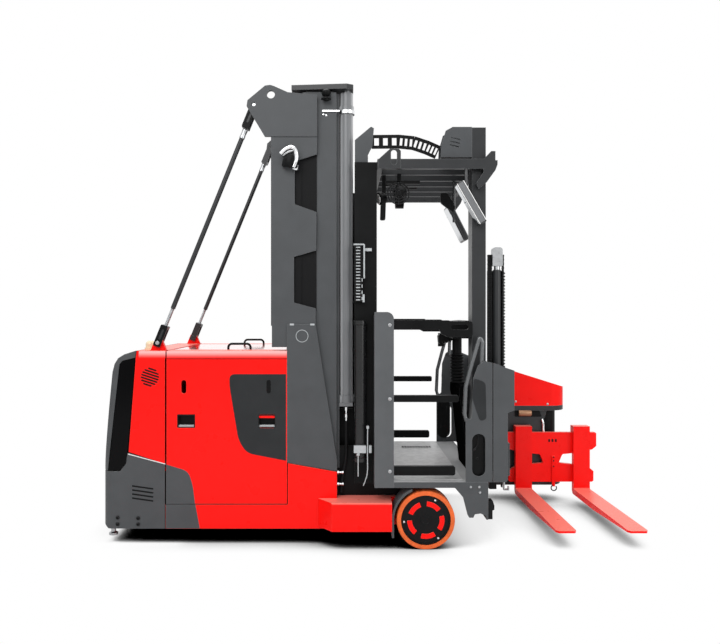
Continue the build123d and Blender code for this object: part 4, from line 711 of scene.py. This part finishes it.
def barrel_and_carrier():
    """The upright barrel, and the hose carrier over it with its links and frame."""
    profile = [(0, 0), (46, 0), (46, 26), (40, 30), (40, 900), (44, 904), (44, 930), (0, 930)]
    piece("hose_drum_barrel", [lathe(profile, (-112, -640, 560), UP, 36)], SLEEK, "cab", "trim_black")
    pitch = 41.0
    carrier = [brick(-152, -94, -636, -604, 1614, 1988)]
    carrier += [brick(-152, -148, -642, -604, 1622 + pitch * k, 1648 + pitch * k) for k in range(9)]
    piece("hose_carrier", carrier, BLACK, "cab", "trim_black", bevel=1.0)
    half = pitch / 2
    links = [brick(-141, -113, -640.5, -634, 1624 + half * k, 1631 + half * k) for k in range(18)]
    links += [brick(-104, -98, -641, -634, 1626 + pitch * k, 1648 + pitch * k) for k in range(4)]
    piece("carrier_links", links, PALE, "cab", "steel_plain")
    strips = [
        brick(-158, -88, -646, -598, 1990, 2000),
        brick(-92, -82, -646, -598, 1770, 1996),
        brick(-84, -36, -622, -608, 1952, 1972),
        brick(-98, -84, -644, -606, 1612, 1664),
    ]
    piece("carrier_frame", strips, PALE, "cab", "steel_plain", bevel=1.5)


def valves():
    """Pale block with three screws, and the two pipes beside it."""
    block = [
        slab(rounded(oblong(-156, -76, 625, 673), 5), "xz", -680, 24),
        slab(rounded(oblong(-58, -40, 625, 673), 3), "xz", -680, 20),
    ]
    block += [disc((x, -704, 649), RIGHTWARDS, 5, 1.5, 0.5, 16) for x in (-142, -116, -90)]
    piece("valve_block", block, PALE, "cab", "steel_plain", bevel=1.0)
    run = [(-66, -710, 788), (-68, -710, 640), (-66, -710, 500), (-78, -706, 452), (-94, -700, 412)]
    pipes = [
        sweep(bend_path([(-128, -692, 618), (-128, -692, 470)], 1), 3.4, 10),
        lathe([(0, 0), (10, 0), (12, 8), (8, 20), (0, 20)], (-128, -692, 606), UP, 18),
        sweep(bend_path(run, 40), 3.2, 10),
        lathe([(0, 0), (9, 0), (9, 18), (0, 18)], (-66, -710, 786), UP, 18),
    ]
    piece("valve_pipes", pipes, PALE, "cab", "steel_plain")


barrel_and_carrier()
valves()


# Painted shade: seams, slots and the mast feet

def slanted_pill(x, z, length, width, tilt):
    """Outline of a slot that falls by tilt degrees towards +X."""
    c, s = math.cos(math.radians(tilt)), math.sin(math.radians(tilt))
    flat = pill(0, 0, width, length)[:, ::-1]
    return np.stack([x + flat[:, 0] * c + flat[:, 1] * s, z - flat[:, 0] * s + flat[:, 1] * c], axis=1)


def painted_depth_shade():
    """Painted shade as dark slabs in the seams, bumper slots and round vent,
    and a black plate over the mast feet that stands in for their dark hoses and for painted shade.
    """
    seams = [brick(-1408, -602, -598.4, -590, 259.5, 266.5), brick(-1420, -1409, -599.2, -590, 101, 262)]
    pair("seam_shadows", seams, GUARD, "chassis", "trim_black")
    # flat dark slabs painting the shade inside the bumper slots and the vent's slots
    slots = [slab(slanted_pill(-1566, 375 - 27 * i, 147, 10.5, 8), "xz", SIDE, 0.4) for i in range(4)]
    vent_x, vent_z, vent_radius, tilt = -1518, 1112, 62, 18
    slope = math.radians(tilt)
    for i in range(7):
        away = 18.0 * (i - 3)
        length = 2 * math.sqrt(vent_radius ** 2 - away ** 2) - 1
        x, z = vent_x + away * math.sin(slope), vent_z + away * math.cos(slope)
        slots.append(slab(slanted_pill(x, z, length, 11, tilt), "xz", SIDE, 0.4))
    pair("slot_painted_shade", slots, GUARD, "chassis", "trim_black")
    # black plate over the mast feet: part the dark hoses and frame there, part painted shade
    outline = [(-266, 303.5), (162, 303.5), (162, 352), (94, 352), (94, 399), (-128, 399), (-128, 640),
               (-266, 640)]
    pair("foot_dark_plate", [slab(outline, "xz", -520, 3)], BLACK, "chassis", "trim_black")


painted_depth_shade()


# Cab

def front_panels():
    """Bolts of posts and panels, the dark field on each panel and the cables behind its opening."""
    heads = bolts([(78, 1462), (78, 981), (78, 510)], OUT, 8)
    heads += bolts([(604, 409), (659, 409), (664, 373)], OUT, 7, False)
    pair("cab_bolts", heads, STEEL, "cab", "steel_plain")
    field = rounded([(622, 1118), (700, 1090), (706, 850), (664, 836), (640, 900), (614, 985)], 26)
    pair("panel_field", [slab(field, "xz", OUT, 1.0)], FIELD, "cab", "frame_dark")
    cable = bend_path([(604, -706, 560), (612, -708, 640), (650, -708, 660), (656, -706, 740)], 30)
    behind = [slab(pill(631, 640, 110, 330), "xz", -700, 3), sweep(cable, 7, 10)]
    behind += [disc((x, -703, z), RIGHTWARDS, 9, 5, 1, 16) for x, z in ((612, 740), (650, 590))]
    pair("panel_cables", behind, BLACK, "cab", "trim_black")


def cab_inside():
    """Treads of the floor, the folds of the gaiter, and the lever pod with finger grooves in its grip."""
    treads = []
    for y in (421.0, -520.0):
        for x in range(250, 471, 22):
            for row in (y - 16, y + 16):
                treads.append(slab(rounded(oblong(x, x + 14, row - 10, row + 10), 4), "xy", 451, 1.5))
    piece("floor_treads", treads, RUBBER, "cab", "rubber_black")
    fold = np.linspace(0, 198, 109)
    wave = 45 + 6.5 * np.cos(fold / 22 * 2 * np.pi)
    profile = [(0, 0)] + list(zip(wave, fold)) + [(34, 200), (34, 321), (0, 321)]
    gaiter = piece("gaiter", [lathe(profile, (594, -230, 1044), UP, 32)], RUBBER, "cab", "rubber_black")
    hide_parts("bellows")
    groove = np.linspace(0, 1, 31)
    under = np.stack([474 + 96 * groove, 1318 + 7 * np.cos(groove * 8 * np.pi) + 16 * groove], axis=1)
    pod = np.vstack([under, [(600, 1352), (604, 1384), (560, 1396), (486, 1392), (470, 1372)]])
    piece("lever_pod", [slab(pod, "xz", -88, 66)], BLACK, "cab", "trim_black", bevel=6)


def roof_lamps():
    """The lamp on the roof's edge with its cable and bright face, and the spot lamp beside it."""
    aim = (-1, -0.35, -0.2)
    cable = [(52, -470, 2420), (150, -460, 2436), (210, -300, 2428), (300, -240, 2440)]
    lamp = [
        lathe([(0, 0), (34, 0), (40, 10), (42, 46), (36, 50), (0, 50)], (62, -470, 2330), aim, 36),
        slab(rounded([(26, 2176), (62, 2176), (66, 2296), (30, 2300)], 12, 5), "xz", -470, 26),
        brick(40, 66, -482, -462, 2290, 2486),
        sweep(bend_path(cable, 60), 9, 10),
    ]
    piece("roof_lamp", lamp, BLACK, "cab", "trim_black", bevel=1.0)
    face = lathe([(0, 0), (34, 0), (33, 3), (12, 6), (0, 6)], (14, -487, 2320), aim, 32)
    piece("roof_lamp_face", [face], WHITE, "cab", "lamp_lens")
    profile = [(0, 0), (30, 0), (44, 14), (46, 40), (38, 62), (20, 74), (0, 76)]
    arm = rounded([(470, 2330), (560, 2260), (576, 2300), (520, 2400), (470, 2400)], 12, 4)
    spot = [
        lathe(profile, (150, -520, 2384), (0.2, -0.5, -0.5), 28),
        brick(140, 166, -536, -506, 2400, 2486),
        slab(arm, "xz", -250, 24),
    ]
    piece("roof_spot", spot, BLACK, "cab", "trim_black", bevel=1.0)


def lamp_guard():
    """Rings and spokes of wire before the spot lamp, with their boss and holder."""
    x, y, z = LAMP_GUARD
    rim, wire = 72, 4.2
    turn = np.linspace(0, 2 * np.pi, 33)
    wires = []
    for r in (22, 38, 55, rim):
        ring = np.stack([x + r * np.cos(turn), y - 0.18 * (rim - r) + 0 * turn, z + r * np.sin(turn)], axis=1)
        wires.append(sweep(ring, wire, 8))
    for a in np.linspace(0, 2 * np.pi, 9)[:-1]:
        spoke = [(x, y - 14, z), (x + rim * math.cos(a), y, z + rim * math.sin(a))]
        wires.append(sweep(spoke, wire, 8))
    wires += [
        brick(60, 290, y, y + 18, 2410, 2432),
        brick(x - 10, x + 10, y, y + 18, z - 6, 2430),
        disc((x, y - 20, z), RIGHTWARDS, 16, 8, 2, 20),
    ]
    piece("lamp_guard", wires, BLACK, "cab", "trim_black")


def mirrors():
    """Glass of the two mirrors, and the grey side and painted edge highlights of the near one."""
    # white strips painting the highlights along the near mirror's long edges
    edges = [turned(brick(x, x + 5, -720.5, -718.5, 2112, 2412), *NEAR_MIRROR) for x in (586, 633)]
    piece("mirror_edge_highlights", edges, WHITE, "cab", "trim_black")
    side = turned(brick(594, 630, -720.2, -718.5, 2116, 2408), *NEAR_MIRROR)
    piece("mirror_side", [side], BARREL, "cab", "trim_black")
    glass = [
        turned(brick(582, 585.5, -213, -47, 2067, 2329), *FAR_MIRROR),
        turned(brick(581.5, 584.8, -715, -649, 2118, 2406), *NEAR_MIRROR),
    ]
    piece("mirror_glass", glass, MIRROR, "cab", "window_black")


front_panels()
cab_inside()
roof_lamps()
lamp_guard()
mirrors()


# Auxiliary lift and fork head

def aux_lift():
    """Chain of the auxiliary lift plate by plate, its guard, and the brackets at the column's foot."""
    chain = chain_run(744, -575, 30, 28, 700, 1940, 14) + chain_run(840, -575, 30, 12, 1120, 1940, 14)
    leaf_chain = piece("leaf_chain", chain, BLACK, "aux_rod", "trim_black", smooth=False)
    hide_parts("aux_chain")
    piece("chain_guard", [brick(746, 850, -546, -543, 560, 1826)], BLACK, "cab", "trim_black")
    teeth = [brick(846, 867, -552, -543, low, low + 11) for low in range(1110, 1804, 21)]
    piece("chain_teeth", teeth, BLACK, "cab", "trim_black")
    brackets = [
        brick(752, 800, -596, -556, 362, 412),
        brick(790, 842, -590, -562, 402, 412),
        brick(834, 842, -590, -562, 372, 412),
    ]
    piece("foot_brackets", brackets, BLACK, "cab", "trim_black", bevel=1.5)
    clip = [
        brick(850, 856, -592, -560, 356, 412),
        brick(850, 886, -592, -560, 352, 358),
        brick(880, 886, -592, -560, 356, 376),
    ]
    piece("foot_clip", clip, STEEL, "cab", "steel_plain")


def fork_plate():
    """Slots, screws and hook of the fork plate, and the sleeve of its pivot post."""
    # the slots are flat black pills that paint the shade inside them
    slots = [slab(pill(1477 + x, 503, 15, 26), "xz", PLATE_FACE, 0.7) for x in (-27, 0, 27)]
    slots += [disc((1482, 401, z), RIGHTWARDS, 6, 1.5, 0.4, 12) for z in (369, 340, 295)]
    piece("plate_slots", slots, BLACK, "fork_carriage", "trim_black")
    turn = np.radians(np.linspace(110, 400, 22))
    hook = np.stack([1482 + 22 * np.cos(turn), 0 * turn + 396, 122 + 22 * np.sin(turn)], axis=1)
    piece("plate_hook", [sweep(hook, 4.5, 10)], BLACK, "fork_carriage", "trim_black")
    sleeve = lathe([(70.4, 0), (76, 0), (76, 588), (70.4, 588)], (1466, 580, 155), UP, 48)
    piece("pivot_sleeve", [sleeve], BLACK, "fork_carriage", "trim_black")


def head_fittings():
    """Bay with the swivel motor, its hose, and the bolts of the hood."""
    bay = slab(rounded([(1180, 690), (1404, 690), (1380, 752), (1180, 752)], 8), "xz", 463, 3)
    piece("motor_bay", [bay], BLACK, "turret_head", "trim_black")
    profile = [(0, 0), (25, 0), (27, 5), (27, 98), (25, 103), (0, 103)]
    motor = lathe(profile, (1209, 452, 722), (1, 0, 0), 32)
    piece("swivel_motor", [motor], BRONZE, "turret_head", "steel_plain")
    hose = bend_path([(1400, 452, 672), (1412, 446, 640), (1408, 448, 600), (1420, 450, 548)], 30)
    piece("head_hose", [sweep(hose, 10, 14)], CHROME, "turret_head", "steel_plain")
    piece("hood_bolts", bolts([(1183, 818), (1444, 797)], 440, 6), STEEL, "turret_head", "steel_plain")


aux_lift()
fork_plate()
head_fittings()


# Studio

def floor_finish():
    """White to the lamps. The camera sees a white whose shade under the truck comes from occlusion alone,
    a near shade all round and a wide one that fades out towards the forks."""
    mat = bpy.data.materials.new("studio white")
    mat.use_nodes = True
    tree = mat.node_tree
    shader = tree.nodes["Principled BSDF"]
    shader.inputs["Base Color"].default_value = (FLOOR_WHITE, FLOOR_WHITE, FLOOR_WHITE, 1)
    shader.inputs["Roughness"].default_value = 0.9
    shader.inputs["Specular IOR Level"].default_value = 0.0
    shades = []
    for reach, dark, light in (NEAR_SHADE, WIDE_SHADE):
        shade = new_node(tree, "ShaderNodeAmbientOcclusion", Distance=reach)
        shade.samples = SHADE_SAMPLES
        shades.append(ramp(tree, shade.outputs["AO"], True, From_Min=dark, From_Max=light))
    parts = tree.nodes.new("ShaderNodeSeparateXYZ")
    tree.links.new(tree.nodes.new("ShaderNodeTexCoord").outputs["Object"], parts.inputs["Vector"])
    start, end, most = WIDE_SHADE_FADE
    ahead = ramp(tree, parts.outputs["X"], True, From_Min=start, From_Max=end, To_Max=most)
    wide = maths(tree, "MAXIMUM", shades[1], ahead)
    glow = tree.nodes.new("ShaderNodeEmission")
    tree.links.new(maths(tree, "MULTIPLY", shades[0], wide), glow.inputs["Strength"])
    both = tree.nodes.new("ShaderNodeMixShader")
    tree.links.new(tree.nodes.new("ShaderNodeLightPath").outputs["Is Camera Ray"], both.inputs["Fac"])
    tree.links.new(shader.outputs["BSDF"], both.inputs[1])
    tree.links.new(glow.outputs["Emission"], both.inputs[2])
    tree.links.new(both.outputs[0], tree.nodes["Material Output"].inputs["Surface"])
    return mat


def studio():
    """White floor, white air that lights at half its brightness, three soft lamps and the camera."""
    mesh = bpy.data.meshes.new("studio_floor")
    half = 30.0
    corners = [(-half, -half, 0), (half, -half, 0), (half, half, 0), (-half, half, 0)]
    mesh.from_pydata(corners, [], [[0, 1, 2, 3]])
    floor = bpy.data.objects.new("studio_floor", mesh)
    bpy.context.scene.collection.objects.link(floor)
    mesh.materials.append(floor_finish())

    world = bpy.data.worlds.new("studio air")
    bpy.context.scene.world = world
    world.use_nodes = True
    tree = world.node_tree
    back = tree.nodes["Background"]
    back.inputs["Color"].default_value = (1, 1, 1, 1)
    path = tree.nodes.new("ShaderNodeLightPath").outputs
    seen = maths(tree, "MAXIMUM", path["Is Camera Ray"], path["Is Glossy Ray"])
    tree.links.new(ramp(tree, seen, To_Min=AIR_LIGHT), back.inputs["Strength"])

    for name, place, aim, size, power in (
        ("key", (-2.5, -6.5, 6.0), (0, 0, 1.2), 5.0, 330.0),
        ("fill", (5.5, -5.0, 3.0), (0.3, 0, 1.0), 4.0, 150.0),
        ("top", (0.0, 1.0, 7.5), (0, 0, 0), 6.0, 260.0),
    ):
        lamp = bpy.data.lights.new(name, "AREA")
        lamp.shape = "SQUARE"
        lamp.size = size
        lamp.energy = power
        obj = bpy.data.objects.new(name, lamp)
        bpy.context.scene.collection.objects.link(obj)
        obj.location = place
        obj.rotation_euler = (Vector(aim) - Vector(place)).to_track_quat("-Z", "Y").to_euler()

    view = bpy.data.cameras.new("camera")
    view.lens = CAMERA_LENS
    view.sensor_width = CAMERA_SENSOR
    view.shift_x, view.shift_y = CAMERA_SHIFT
    cam = bpy.data.objects.new("camera", view)
    bpy.context.scene.collection.objects.link(cam)
    cam.location = CAMERA_PLACE
    cam.rotation_euler = (math.radians(90), 0, 0)
    bpy.context.scene.camera = cam


studio()
bpy.context.scene.view_settings.view_transform = "Standard"
